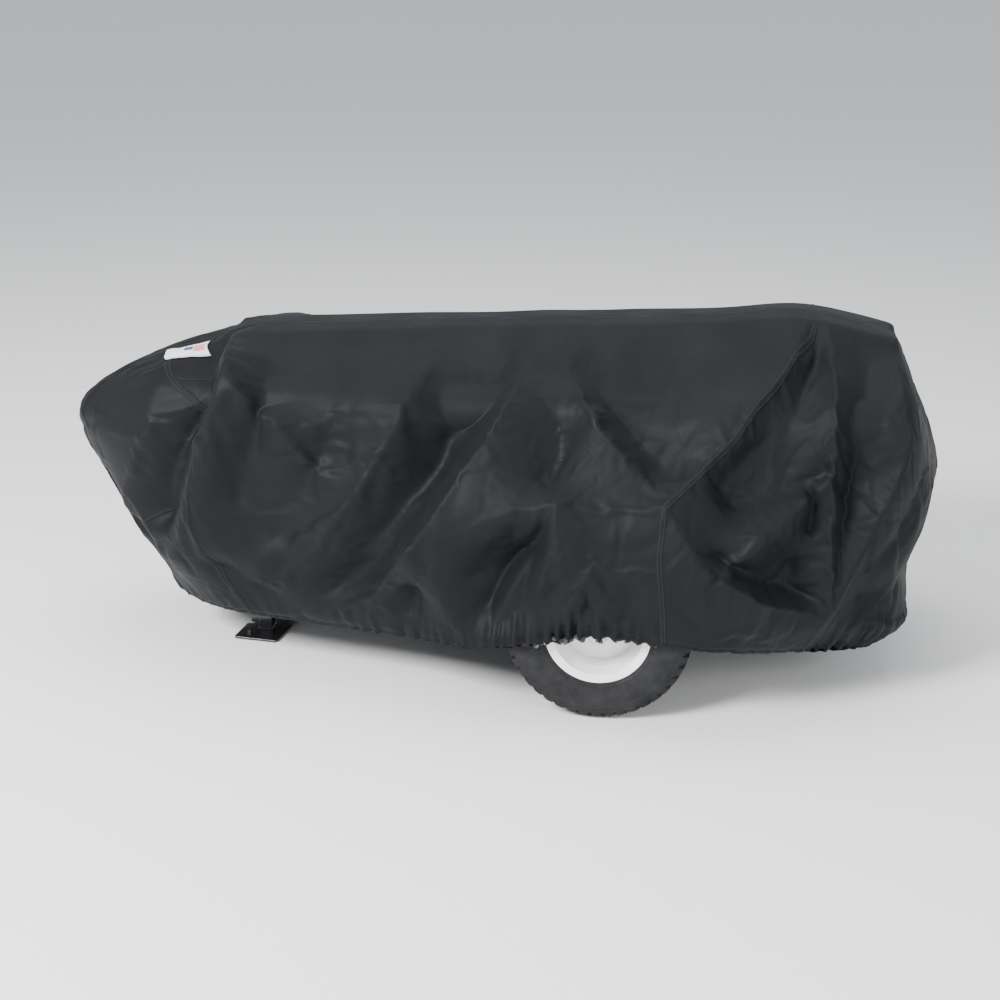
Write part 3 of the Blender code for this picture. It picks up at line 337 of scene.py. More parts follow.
def drape(net, firm):
    """Lets the cloth hang from its folds' crests, its ridge and its hem, over what lies under it."""
    cloth = link("hanging_cloth", net_mesh("hanging_cloth", net))
    weights = np.zeros(net.shape[:2])
    weights[firm] = CREST_HOLD
    weights[:2] = 1
    weights[-2:] = 1
    group = cloth.vertex_groups.new(name="held")
    for weight in (CREST_HOLD, 1):
        group.add(np.flatnonzero(weights.reshape(-1) == weight).tolist(), weight, "REPLACE")
    props = []
    for node in ("left_tyre", "right_tyre", "ridge_board", "coupler_body"):
        prop = link("prop_" + node, NODES[node].data.copy())
        prop.modifiers.new("prop", "COLLISION")
        prop.collision.thickness_outer = 0.004
        props.append(prop)
    modifier = cloth.modifiers.new("cloth", "CLOTH")
    settings = modifier.settings
    settings.quality = 5
    settings.mass = 0.15
    settings.tension_stiffness = 15
    settings.compression_stiffness = 15
    settings.shear_stiffness = 5
    settings.bending_stiffness = 0.05
    settings.air_damping = 1
    settings.vertex_group_mass = "held"
    settings.pin_stiffness = 4
    settings.shrink_min = CLOTH_SLACK
    modifier.collision_settings.distance_min = 0.004
    modifier.collision_settings.use_self_collision = False
    modifier.point_cache.frame_start = 1
    modifier.point_cache.frame_end = CLOTH_FRAMES
    scene = bpy.context.scene
    for step in range(1, CLOTH_FRAMES + 1):
        scene.frame_set(step)
    hung = cloth.evaluated_get(bpy.context.evaluated_depsgraph_get())
    places = np.zeros(net.size, np.float32)
    hung.data.vertices.foreach_get("co", places)
    scene.frame_set(1)
    for obj in [cloth, *props]:
        bpy.data.objects.remove(obj, do_unlink=True)
    moved = places.reshape(net.shape) - net
    size = np.linalg.norm(moved, axis=2, keepdims=True)
    return net + moved * CLOTH_TRAVEL / np.sqrt(size**2 + CLOTH_TRAVEL**2)


def refined(net):
    """The net with a line put between each two, along a smooth curve."""
    rows = spline_weights(net.shape[0], np.linspace(0, net.shape[0] - 1, 2 * net.shape[0] - 1))
    tall = np.einsum("ab,bcd->acd", rows, net)
    before, after = np.roll(tall, 1, 1), np.roll(tall, -1, 1)
    between = (9 * (tall + after) - before - np.roll(tall, -2, 1)) / 16
    fine = np.empty((tall.shape[0], 2 * tall.shape[1], 3))
    fine[:, 0::2] = tall
    fine[:, 1::2] = between
    return fine


def net_places(net):
    """Column and row of each place of a fine net, the columns counted 0 to 9 on both sides."""
    ring = net.shape[1]
    column = np.arange(ring) * (2 * LAST_COLUMN / ring)
    column = np.minimum(column, 2 * LAST_COLUMN - column)
    row = np.linspace(0, LAST_ROW, net.shape[0])
    return np.meshgrid(column, row)


def small_wrinkles(net):
    """Heights of the slack creases that run down and forward, and of the short ones from handling."""
    chance = random.Random(11)
    rows, ring = net.shape[:2]
    column_step = 2 * LAST_COLUMN * COLUMN_WIDTH / ring
    row_step = LAST_ROW * ROW_HEIGHT / (rows - 1)
    heights = np.zeros((rows, ring))
    for count, lengths, widths, sizes in CREASES:
        for _ in range(count):
            across, below = chance.uniform(0, 2 * LAST_COLUMN), chance.uniform(0.1, LAST_ROW)
            lean = chance.gauss(2.1, 0.45) if chance.random() < 0.65 else chance.uniform(0, pi)
            if across > LAST_COLUMN:
                lean = pi - lean
            length, width = chance.uniform(*lengths), chance.uniform(*widths)
            height = chance.choice((-1, 1)) * chance.uniform(*sizes)
            bend = 0.6 * chance.uniform(-1, 1) / length
            reach = 2.2 * length
            middle = round(across * ring / (2 * LAST_COLUMN)), round(below * (rows - 1) / LAST_ROW)
            wide, tall = int(reach / column_step) + 1, int(reach / row_step) + 1
            columns = np.arange(middle[0] - wide, middle[0] + wide + 1)
            lines = np.arange(max(middle[1] - tall, 0), min(middle[1] + tall + 1, rows))
            right, down = np.meshgrid((columns - middle[0]) * column_step, (lines - middle[1]) * row_step)
            forward = right * cos(lean) + down * sin(lean)
            aside = down * cos(lean) - right * sin(lean) + bend * forward**2
            shape = np.exp(-(forward / length) ** 2 - (aside / width) ** 2)
            heights[np.ix_(lines, columns % ring)] += height * shape
    return heights


def hem_gathers(column, row):
    """Heights of the pleats that the elastic pulls into the lowest cloth, deepest round the wheel."""
    depth = np.clip((row - 4.15) / 0.85, 0, 1) ** 1.5
    over_wheel = np.exp(-((column - 4.75) / 0.68) ** 4)
    behind = np.exp(-((column - 7.75) / 0.70) ** 4)
    ahead = np.exp(-((column - 3.5) / 0.55) ** 4)
    strength = 0.0006 + 0.0058 * over_wheel + 0.0060 * behind + 0.0028 * ahead
    turn = 2 * pi * column
    wave = np.sin(8.3 * turn + 1.9 * np.sin(1.7 * turn) + 0.8 * row)
    wave += 0.55 * np.sin(13.1 * turn + 2.3 * np.sin(2.6 * turn + 1.0) - 1.3 * row)
    return depth * strength * wave


def tucked(net, column):
    """Adds the rows that roll under the machine to the elastic, ruffled by its pull."""
    outward = net_normals(net)[-1].copy()
    outward[:, 2] = 0
    outward /= np.linalg.norm(outward, axis=1, keepdims=True)
    at_wheel = np.exp(-((column - 5.0) / 0.72) ** 6)
    reach = TUCK_REACH - (TUCK_REACH - TUCK_AT_WHEEL) * at_wheel
    turn = 2 * pi * column
    ruffle = np.sin(11.7 * turn + 2.1 * np.sin(2.3 * turn)) + 0.6 * np.sin(19.3 * turn + np.sin(3.1 * turn))
    rows = []
    for k in range(1, TUCK_STEPS + 1):
        share = k / TUCK_STEPS
        inward = reach * share
        lift = TUCK_DIP * sin(pi * share) * -1 + TUCK_RISE * share * (1 - at_wheel)
        spread = 0.0042 * ruffle * share
        row = net[-1] - outward * inward[:, None]
        row[:, 2] += lift + spread
        rows.append(row - outward * (0.5 * spread)[:, None])
    return np.concatenate((net, np.array(rows)), axis=0)


def over_hopper(net):
    """Keeps the cloth outside the hopper's rim and the bows' feet, where a deep fold would cut them."""
    low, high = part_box("hopper_trough")
    inner = np.array((high[1] - 0.035, high[2] - 0.035))
    reach = RIM_CLEARANCE * np.clip((net[..., 0] - low[0] + 0.10) / 0.06, 0, 1)
    reach *= np.clip((high[0] + 0.08 - net[..., 0]) / 0.04, 0, 1)
    away = np.stack((np.abs(net[..., 1]) - inner[0], net[..., 2] - inner[1]), axis=-1)
    distance = np.maximum(np.linalg.norm(away, axis=-1), 1e-6)
    near = (away[..., 0] > -0.03) & (away[..., 1] > -0.10)
    pushed = np.where(near, np.maximum(distance, reach), distance)
    away *= (pushed / distance)[..., None]
    side = np.where(net[..., 1] < 0, -1, 1)
    return np.stack((net[..., 0], side * (away[..., 0] + inner[0]), away[..., 1] + inner[1]), axis=-1)


def over_wheels(net):
    """Keeps the cloth outside the hubs' caps and the tyres' sides."""
    low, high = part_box("right_hub")
    cap, middle = high[1], ((low[0] + high[0]) / 2, (low[2] + high[2]) / 2)
    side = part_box("right_tyre")[1][1]
    away = np.hypot(net[..., 0] - middle[0], net[..., 2] - middle[1])
    cap_share = np.clip((0.090 - away) / 0.045, 0, 1)
    tyre_share = np.clip((0.235 - away) / 0.030, 0, 1)
    wall = (side + 0.004) * (1 - cap_share) + (cap + 0.008) * cap_share
    out = np.abs(net[..., 1])
    out = out + np.maximum(wall - out, 0) * tyre_share
    return np.stack((net[..., 0], np.where(net[..., 1] < 0, -out, out), net[..., 2]), axis=-1)


def cover_nets():
    """The finished cloth's net, from the ridge's middle to the tucked hem, and its part below the ridge."""
    net, firm = folded_net()
    net = drape(net, firm)
    net = refined(net)
    column, row = net_places(net)
    heights = small_wrinkles(net) * np.clip(row, 0.15, 1) + hem_gathers(column, row)
    side = over_wheels(over_hopper(net + net_normals(net) * heights[..., None]))
    full, top = with_top(tucked(side, column[0]))
    for _ in range(EDGE_ROUNDING):
        near = slice(top - 6, top + 9)
        full[near] = (full[top - 7:top + 8] + 2 * full[near] + full[top - 5:top + 10]) / 4
    return full, full[top:top + side.shape[0]]


def lay_out_uv(mesh, net):
    """Lays the net flat in metres, so that the weave keeps its size."""
    ring = net.shape[1]
    steps = np.linalg.norm(np.roll(net, -1, 1) - net, axis=2).mean(0)
    across = np.concatenate(([0], np.cumsum(steps)))
    falls = np.linalg.norm(np.diff(net, axis=0), axis=2).mean(1)
    down = np.concatenate(([0], np.cumsum(falls)))
    layer = mesh.uv_layers.new(name="cloth")
    corners = np.zeros(len(mesh.loops), np.int32)
    mesh.loops.foreach_get("vertex_index", corners)
    row, column = corners // ring, corners % ring
    wraps = (np.arange(len(corners)) % 4 >= 2) & (column == 0)
    column = np.where(wraps, ring, column)
    uv = np.stack((across[column], down[row]), axis=-1)
    layer.data.foreach_set("uv", uv.reshape(-1).astype(np.float32))


def thicken(obj, thickness, offset=-1.0):
    solid = obj.modifiers.new("sheet", "SOLIDIFY")
    solid.thickness = thickness
    solid.offset = offset


def tidy_mesh(mesh, merge):
    bm = bmesh.new()
    bm.from_mesh(mesh)
    bmesh.ops.remove_doubles(bm, verts=bm.verts, dist=merge)
    bmesh.ops.recalc_face_normals(bm, faces=bm.faces)
    bm.to_mesh(mesh)
    bm.free()
    mesh.shade_smooth()


def make_cover(material):
    full, side = cover_nets()
    mesh = net_mesh("cover_cloth", full)
    lay_out_uv(mesh, full)
    tidy_mesh(mesh, MERGE_DISTANCE)
    cover = link("cover_cloth", mesh)
    cover.data.materials.append(material)
    thicken(cover, CLOTH_THICKNESS)
    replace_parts(cover, "cover_main_panel", "cover_front_panel", "cover_rear_panel")
    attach(cover, "cover")
    return cover, full, side


def make_hem(full, material):
    """The elastic's gathered casing: a ruffled tube round the cloth's last row."""
    edge = full[-1]
    ring = len(edge)
    sides = 8
    turn = 2 * pi * np.arange(ring) * (2 * LAST_COLUMN / ring)
    radius = HEM_RADIUS * (1 + 0.22 * np.sin(14.3 * turn) + 0.12 * np.sin(23.7 * turn + 1))
    ahead = np.roll(edge, -1, 0) - np.roll(edge, 1, 0)
    ahead /= np.linalg.norm(ahead, axis=1, keepdims=True)
    aside = np.cross(ahead, (0, 0, 1))
    aside /= np.linalg.norm(aside, axis=1, keepdims=True)
    up = np.cross(aside, ahead)
    centre = edge - np.array((0, 0, HEM_RADIUS + 0.0015))
    rings = [centre + radius[:, None] * (aside * cos(a) + up * sin(a))
             for a in (2 * pi * k / sides for k in range(sides))]
    rings.append(rings[0])
    mesh = net_mesh("cover_hem", np.array(rings))
    tidy_mesh(mesh, MERGE_DISTANCE)
    hem = link("cover_hem", mesh)
    hem.data.materials.append(material)
    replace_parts(hem, "cover_elastic_hem")
    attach(hem, "cover")


class Cloth:
    """Places on the cover's finished cloth. A negative column is on the far side."""

    def __init__(self, side):
        self.side = side
        self.normals = net_normals(side)

    def at(self, column, row, proud=0.0):
        ring = self.side.shape[1]
        x = (column * ring / (2 * LAST_COLUMN)) % ring
        y = min(max(row, 0), LAST_ROW) * (self.side.shape[0] - 1) / LAST_ROW
        i, j = int(x), min(int(y), self.side.shape[0] - 2)
        u, v = x - i, y - j
        after = (i + 1) % ring

        def mix(values):
            upper = values[j, i] * (1 - u) + values[j, after] * u
            lower = values[j + 1, i] * (1 - u) + values[j + 1, after] * u
            return upper * (1 - v) + lower * v

        return Vector(mix(self.side) + proud * mix(self.normals))


def even_points(path, spacing):
    """Columns and rows at even steps along a path, with their direction."""
    points = []
    for (s0, t0), (s1, t1) in zip(path, path[1:]):
        length = hypot((s1 - s0) * COLUMN_WIDTH, (t1 - t0) * ROW_HEIGHT)
        count = max(1, round(length / spacing))
        for k in range(count):
            points.append((s0 + (s1 - s0) * k / count, t0 + (t1 - t0) * k / count))
    points.append(path[-1])
    return points


def sewn_band(bm, cloth, path, width, proud):
    """A strip of doubled cloth along a path on the cover."""
    points = even_points(path, 0.006)
    rows = []
    for k, (s, t) in enumerate(points):
        s0, t0 = points[max(k - 2, 0)]
        s1, t1 = points[min(k + 2, len(points) - 1)]
        along = (s1 - s0) * COLUMN_WIDTH, (t1 - t0) * ROW_HEIGHT
        size = max(hypot(*along), 1e-6)
        ds, dt = -along[1] / size / COLUMN_WIDTH, along[0] / size / ROW_HEIGHT
        row = []
        for share, height in ((-0.5, 0.0), (-0.42, proud), (-0.2, proud * 1.25), (0.0, proud),
                              (0.2, proud * 1.25), (0.42, proud), (0.5, 0.0)):
            row.append(bm.verts.new(cloth.at(s + ds * width * share, t + dt * width * share, height)))
        rows.append(row)
    for one, two in zip(rows, rows[1:]):
        for a, b, c, d in zip(one, one[1:], two[1:], two):
            bm.faces.new((a, b, c, d))


def stitches(bm, cloth, path, aside, proud):
    """A row of short thread stitches beside a path."""
    points = even_points(path, 0.0045)
    places = []
    for k, (s, t) in enumerate(points):
        s0, t0 = points[max(k - 2, 0)]
        s1, t1 = points[min(k + 2, len(points) - 1)]
        along = (s1 - s0) * COLUMN_WIDTH, (t1 - t0) * ROW_HEIGHT
        size = max(hypot(*along), 1e-6)
        ds, dt = -along[1] / size / COLUMN_WIDTH * aside, along[0] / size / ROW_HEIGHT * aside
        places.append(cloth.at(s + ds, t + dt, proud))
    for one, two in zip(places, places[1:]):
        start, end = one.lerp(two, 0.12), one.lerp(two, 0.88)
        add_rod(bm, start, end, 0.0004, 5)


def add_rod(bm, start, end, radius, sides=12, end_radius=None):
    """A closed round bar between two places."""
    axis = end - start
    if axis.length < 1e-6:
        return
    turn = axis.to_track_quat("Z", "Y").to_matrix().to_4x4()
    turn.translation = (start + end) / 2
    bmesh.ops.create_cone(bm, cap_ends=True, segments=sides, radius1=radius,
                          radius2=radius if end_radius is None else end_radius,
                          depth=axis.length, matrix=turn)


def piece(name, bm, material, body, smooth=40):
    """A finished object from bm, which rides on a body."""
    mesh = bpy.data.meshes.new(name)
    bm.to_mesh(mesh)
    bm.free()
    mesh.materials.append(material)
    mesh.shade_smooth()
    if smooth < 180:
        mesh.set_sharp_from_angle(angle=radians(smooth))
    obj = link(name, mesh)
    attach(obj, body)
    return obj


FRONT_SEAM = ((1.02, 0.28), (1.18, 0.60), (1.35, 0.88), (1.62, 1.08), (1.85, 1.25), (2.075, 1.65),
              (2.06, 2.40), (1.99, 3.20), (1.99, 3.78), (2.075, 4.42), (2.10, 4.98))
REAR_SEAM = ((7.12, 0.03), (7.05, 0.20), (6.83, 0.45), (6.60, 0.80), (6.35, 1.12), (6.05, 1.68),
             (5.80, 2.12), (5.53, 2.55), (5.50, 3.20), (5.52, 4.00), (5.55, 4.98))
SHORT_SEAMS = (((1.66, 1.04), (2.02, 0.60)), ((1.42, 3.66), (1.80, 3.25)))


def far_path(path):
    return tuple((-s, t) for s, t in path)


def make_seams(cloth, fabric, thread):
    bands, threads = bmesh.new(), bmesh.new()
    long_seams = [FRONT_SEAM, REAR_SEAM]
    for path in long_seams + [far_path(path) for path in long_seams]:
        sewn_band(bands, cloth, path, 0.013, 0.0011)
        for aside in (-0.0035, 0.0035):
            stitches(threads, cloth, path, aside, 0.0016)
    for path in SHORT_SEAMS + tuple(map(far_path, SHORT_SEAMS)):
        sewn_band(bands, cloth, path, 0.006, 0.0008)
        stitches(threads, cloth, path, 0.0, 0.0011)
    piece("cover_seams", bands, fabric, "cover", ALL_SMOOTH)
    piece("cover_stitches", threads, thread, "cover", ALL_SMOOTH)


LABEL_CORNERS = ((1.27, 0.90), (1.74, 0.42), (1.22, 0.33), (0.72, 0.80))  # lower left, round to upper left


def make_label(cloth, material, thread):
    """A plain sewn label: white cloth with two patches of colour."""
    bm = bmesh.new()
    across, up = 28, 16
    net = []
    for j in range(up + 1):
        row = []
        for i in range(across + 1):
            u, v = i / across, j / up
            low = [a + (b - a) * u for a, b in zip(LABEL_CORNERS[0], LABEL_CORNERS[1])]
            high = [a + (b - a) * u for a, b in zip(LABEL_CORNERS[3], LABEL_CORNERS[2])]
            s, t = (a + (b - a) * v for a, b in zip(low, high))
            lift = 0.0022 + 0.0012 * sin(5 * u + 1) * sin(3 * v)
            row.append(bm.verts.new(cloth.at(s, t, lift)))
        net.append(row)
    layer = bm.loops.layers.uv.new("label")
    for j in range(up):
        for i in range(across):
            face = bm.faces.new((net[j][i], net[j][i + 1], net[j + 1][i + 1], net[j + 1][i]))
            places = ((i, j), (i + 1, j), (i + 1, j + 1), (i, j + 1))
            for loop, (a, b) in zip(face.loops, places):
                loop[layer].uv = a / across, b / up
    label = piece("cover_label_patch", bm, material, "cover", ALL_SMOOTH)
    thicken(label, 0.0006, 1.0)
    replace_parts(label, "cover_label")
    threads = bmesh.new()
    edge = [(x + (1.28 - x) * 0.04, t) for x, t in LABEL_CORNERS]
    for one, two in zip(edge, edge[1:] + edge[:1]):
        stitches(threads, cloth, (one, two), 0.0, 0.0040)
    piece("cover_label_stitches", threads, thread, "cover", ALL_SMOOTH)


# ---- wheels ----

def revolved(bm, profile, centre, steps):
    """Turns a closed profile of (radius, outboard) about a wheel's axle."""
    rings = []
    for k in range(steps):
        angle = 2 * pi * k / steps
        places = [centre + Vector((r * cos(angle), along, r * sin(angle))) for r, along in profile]
        rings.append([bm.verts.new(place) for place in places])
    for k in range(steps):
        one, two = rings[k], rings[(k + 1) % steps]
        for n in range(len(profile)):
            m = (n + 1) % len(profile)
            bm.faces.new((one[n], one[m], two[m], two[n]))


def rounded_line(corners, count):
    """A closed line of count places along corners, rounded where they turn."""
    ends = corners[1:] + corners[:1]
    lengths = [hypot(b[0] - a[0], b[1] - a[1]) for a, b in zip(corners, ends)]
    total = sum(lengths)
    places = []
    for k in range(count):
        at = total * k / count
        for (a, b), length in zip(zip(corners, ends), lengths):
            if at <= length:
                places.append((a[0] + (b[0] - a[0]) * at / length, a[1] + (b[1] - a[1]) * at / length))
                break
            at -= length
    for _ in range(2):
        nexts = places[1:] + places[:1]
        places = [tuple((places[k - 1][i] + 2 * places[k][i] + nexts[k][i]) / 4 for i in (0, 1))
                  for k in range(count)]
    return places


AXLE_X, AXLE_Z = 0.27, 0.203
TRACK_HALF = 0.42
TYRE_STEPS = 528
TYRE_KNOBS = 44
TYRE_SIDE = [(0.1020, 0.049), (0.1135, 0.0505), (0.1165, 0.0535), (0.130, 0.0575), (0.1475, 0.0597),
             (0.166, 0.0592), (0.181, 0.0568), (0.190, 0.0530), (0.1975, 0.0470), (0.2005, 0.038),
             (0.2020, 0.026)]
TYRE_LINING = [(0.1020, 0.042), (0.150, 0.050), (0.182, 0.044), (0.192, 0.028)]
TYRE_LINE = (TYRE_SIDE + [(0.2024, 0.0)] + [(r, -a) for r, a in TYRE_SIDE[::-1]]
             + [(r, -a) for r, a in TYRE_LINING] + [(0.194, 0.0)] + TYRE_LINING[::-1])


def ramp(value, low, high):
    share = min(1.0, max(0.0, (value - low) / (high - low)))
    return share * share * (3 - 2 * share)


def tread_depth(radius, along, angle):
    """How far the rubber is cut back at a place on the tyre's outside."""
    side = abs(along)
    turn = angle * TYRE_KNOBS / (2 * pi)
    outer = along > 0
    phase = (turn + (0.5 if outer else 0.0)) % 1.0
    if radius > 0.186 and side > 0.030:
        gap = 1 - ramp(abs(phase - 0.5), 0.10, 0.17)
        narrow = (turn * 2 + (0.25 if outer else 0.0)) % 1.0
        slit = 1 - ramp(abs(narrow - 0.5), 0.05, 0.11)
        fade = ramp(radius, 0.186, 0.1915)
        return fade * (0.0062 * gap + 0.0015 * slit)
    if side <= 0.030 and radius > 0.19:
        zigzag = 0.0035 * (abs((turn % 1.0) * 4 - 2) - 1)
        groove = max(1 - ramp(abs(abs(along + zigzag) - 0.0215), 0.0022, 0.0040),
                     1 - ramp(abs(along + zigzag), 0.0018, 0.0034))
        lean = (turn + along * 22) % 1.0
        slot = 0.6 * (1 - ramp(abs(lean - 0.5), 0.07, 0.13))
        return 0.0062 * max(groove, slot)
    if 0.176 < radius <= 0.186:
        rib = (turn * 2) % 1.0
        return -0.0009 * (1 - ramp(abs(rib - 0.5), 0.18, 0.30))
    return 0.0


def ring_line(radius, along):
    """Moulded rings on a sidewall, as a height along the axle."""
    if abs(along) < 0.045:
        return 0.0
    rings = ((0.1235, 0.0011, 0.0012), (0.1560, 0.0009, 0.0010), (0.1725, 0.0013, 0.0014))
    return sum(size * np.exp(-((radius - at) / width) ** 2) for at, size, width in rings)


def make_tyre(side, material):
    centre = np.array((AXLE_X, side * TRACK_HALF, AXLE_Z))
    line = [(r, a + np.sign(a) * ring_line(r, a)) for r, a in rounded_line(TYRE_LINE, 230)]
    per_knob = TYRE_STEPS // TYRE_KNOBS
    rings = np.zeros((TYRE_STEPS + 1, len(line) + 1, 3))
    for n, (radius, along) in enumerate(line + line[:1]):
        treaded = radius > 0.1768 and not (abs(along) < 0.046 and radius < 0.1950)
        for k in range(per_knob):
            cut = tread_depth(radius, along, 2 * pi * k / TYRE_STEPS) if treaded else 0.0
            angles = 2 * pi * np.arange(k, TYRE_STEPS + 1, per_knob) / TYRE_STEPS
            rings[k::per_knob, n, 0] = (radius - cut) * np.cos(angles)
            rings[k::per_knob, n, 1] = along
            rings[k::per_knob, n, 2] = (radius - cut) * np.sin(angles)
    mesh = net_mesh("tyre", (rings + centre)[:, :-1])
    name = "left_tyre" if side < 0 else "right_tyre"
    bm = bmesh.new()
    bm.from_mesh(mesh)
    bmesh.ops.remove_doubles(bm, verts=bm.verts, dist=MERGE_DISTANCE)
    bmesh.ops.recalc_face_normals(bm, faces=bm.faces)
    body = "drive_axle" if side < 0 else "right_wheel"
    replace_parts(piece(name + "_moulded", bm, material, body, 35), name)


RIM_LINE = [(0.1140, 0.0540), (0.1148, 0.0525), (0.1140, 0.0508), (0.1100, 0.0505), (0.1035, 0.0490),
            (0.1012, 0.0460), (0.1005, 0.0310), (0.0900, 0.0220), (0.0900, -0.0220), (0.1005, -0.0310),
            (0.1012, -0.0460), (0.1035, -0.0490), (0.1100, -0.0505), (0.1140, -0.0508), (0.1148, -0.0525),
            (0.1140, -0.0540), (0.1090, -0.0535), (0.0990, -0.0500), (0.0965, -0.0300), (0.0870, -0.0180),
            (0.0840, -0.0140), (0.0780, -0.0090), (0.0600, -0.0045), (0.0500, -0.0022), (0.0290, -0.0020),
            (0.0290, 0.0022), (0.0500, 0.0022), (0.0600, 0.0000), (0.0780, -0.0045), (0.0830, -0.0060),
            (0.0870, 0.0160), (0.0950, 0.0300), (0.0975, 0.0500), (0.1090, 0.0535)]
LUG_CIRCLE = 0.0400
LUGS = 4


def make_rim(side, white):
    centre = Vector((AXLE_X, side * TRACK_HALF, AXLE_Z))
    bm = bmesh.new()
    revolved(bm, [(r, side * a) for r, a in RIM_LINE], centre, 128)
    bmesh.ops.recalc_face_normals(bm, faces=bm.faces)
    name = "left_rim" if side < 0 else "right_rim"
    body = "drive_axle" if side < 0 else "right_wheel"
    rim = piece(name + "_pressed", bm, white, body, 30)
    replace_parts(rim, name)
    heads = bmesh.new()
    out = Vector((0, side, 0))
    for k in range(LUGS):
        angle = 2 * pi * (k + 0.5) / LUGS
        place = centre + Vector((LUG_CIRCLE * cos(angle), side * 0.0022, LUG_CIRCLE * sin(angle)))
        add_rod(heads, place, place + out * 0.0012, 0.0085, 28)
        add_rod(heads, place + out * 0.0012, place + out * 0.0042, 0.0068, 28, 0.0042)
    soften(piece(name + "_bolt_heads", heads, white, body), 0.0005)
    valve = bmesh.new()
    start = centre + Vector((0.0, side * 0.012, 0.0830))
    add_rod(valve, start, start + Vector((0, side * 0.024, 0.003)), 0.0042, 16, 0.0034)
    piece(name + "_valve", valve, MATERIALS["tyre"], body)


def soften(obj, width, segments=2):
    rounding = obj.modifiers.new("rounded edges", "BEVEL")
    rounding.width = width
    rounding.segments = segments
    rounding.limit_method = "ANGLE"
    rounding.angle_limit = radians(38)
    rounding.harden_normals = True
    return obj


# ---- stand, chain and fasteners ----

STAND_PLACE = Vector((-0.565, -0.081, 0.0))
FOOT_TURN = radians(-7)
FOOT_LINE = ((-0.052, -0.079), (0.050, -0.079), (0.055, -0.072), (0.055, 0.070), (0.048, 0.079),
             (-0.044, 0.079), (-0.055, 0.066), (-0.055, 0.030), (-0.040, 0.026), (-0.040, 0.010),
             (-0.055, 0.006), (-0.055, -0.072))


def flat_plate(bm, line, place, turn, thickness):
    """A plate of that outline, lying on the ground."""
    across, up = Vector((cos(turn), sin(turn), 0)), Vector((-sin(turn), cos(turn), 0))
    corners = [across * x + up * y + place for x, y in line]
    low = [bm.verts.new(p) for p in corners]
    high = [bm.verts.new(p + Vector((0, 0, thickness))) for p in corners]
    bm.faces.new(low[::-1])
    bm.faces.new(high)
    for k in range(len(line)):
        m = (k + 1) % len(line)
        bm.faces.new((low[k], low[m], high[m], high[k]))


def hex_bolt(bm, place, axis, size):
    """A washer and a hexagon head with a shank's end, standing out of a face."""
    place, axis = Vector(place), Vector(axis)
    add_rod(bm, place, place + axis * 0.15 * size, 1.1 * size, 24)
    add_rod(bm, place + axis * 0.15 * size, place + axis * 0.8 * size, 0.9 * size, 6)
    add_rod(bm, place + axis * 0.8 * size, place + axis * 0.88 * size, 0.7 * size, 16, 0.55 * size)


def make_foot(black):
    plate = bmesh.new()
    flat_plate(plate, FOOT_LINE, STAND_PLACE, FOOT_TURN, 0.006)
    foot = soften(piece("stand_foot_plate", plate, black, "stand"), 0.0012)
    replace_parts(foot, "stand_foot")
    weld = bmesh.new()
    half = 0.0165
    square = ((-half, -half), (half, -half), (half, half), (-half, half))
    corners = [STAND_PLACE + Vector((x, y, 0.0068)) for x, y in square]
    for one, two in zip(corners, corners[1:] + corners[:1]):
        for k in range(9):
            at = one.lerp(two, k / 9)
            add_rod(weld, at - Vector((0, 0, 0.0015)), at + Vector((0, 0, 0.0022)), 0.0031, 10, 0.0016)
    piece("stand_foot_weld", weld, black, "stand", ALL_SMOOTH)
    bolts = bmesh.new()
    for x, y in ((-0.034, -0.046), (0.034, 0.052)):
        hex_bolt(bolts, STAND_PLACE + Vector((x, y, 0.006)), (0, 0, 1), 0.006)
    soften(piece("stand_foot_bolts", bolts, black, "stand"), 0.0003)


CHAIN_X = -0.530
AUGER_Z = 0.395
LOW_PITCH_R, HIGH_PITCH_R = 0.0292, 0.0434
CHAIN_LINKS = 40


def chain_path(count):
    """Even places round the chain's pitch line, in the plane across the machine."""
    rise = AUGER_Z - AXLE_Z
    lean = np.arcsin((HIGH_PITCH_R - LOW_PITCH_R) / rise)
    points = []
    for k in range(121):
        angle = -lean + (pi + 2 * lean) * k / 120
        points.append((HIGH_PITCH_R * cos(angle), AUGER_Z + HIGH_PITCH_R * sin(angle)))
    for k in range(121):
        angle = pi + lean + (pi - 2 * lean) * k / 120
        points.append((LOW_PITCH_R * cos(angle), AXLE_Z + LOW_PITCH_R * sin(angle)))
    points.append(points[0])
    line = np.array(points)
    lengths = np.concatenate(([0], np.cumsum(np.linalg.norm(np.diff(line, axis=0), axis=1))))
    at = np.linspace(0, lengths[-1], count, endpoint=False)
    across, up = (np.interp(at, lengths, line[:, k]) for k in (0, 1))
    return [Vector((CHAIN_X, y, z)) for y, z in zip(across, up)]


def make_chain(steel):
    places = chain_path(CHAIN_LINKS)
    bm = bmesh.new()
    out = Vector((1, 0, 0))
    for k, (one, two) in enumerate(zip(places, places[1:] + places[:1])):
        add_rod(bm, one - out * 0.0046, one + out * 0.0046, 0.0017, 10)
        add_rod(bm, one - out * 0.0020, one + out * 0.0020, 0.0030, 14)
        away = 0.0026 if k % 2 else 0.0038
        for side in (-1, 1):
            for start, end in ((one, two), (two, one)):
                middle = start.lerp(end, 0.5)
                base = out * side * away
                add_rod(bm, start + base, start + base + out * side * 0.0009, 0.0044, 14)
                bar(bm, start + base, middle + base, out * side * 0.0009, 0.0036)
    chain = piece("drive_chain_links", bm, steel, "frame", 35)
    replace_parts(chain, "drive_chain")


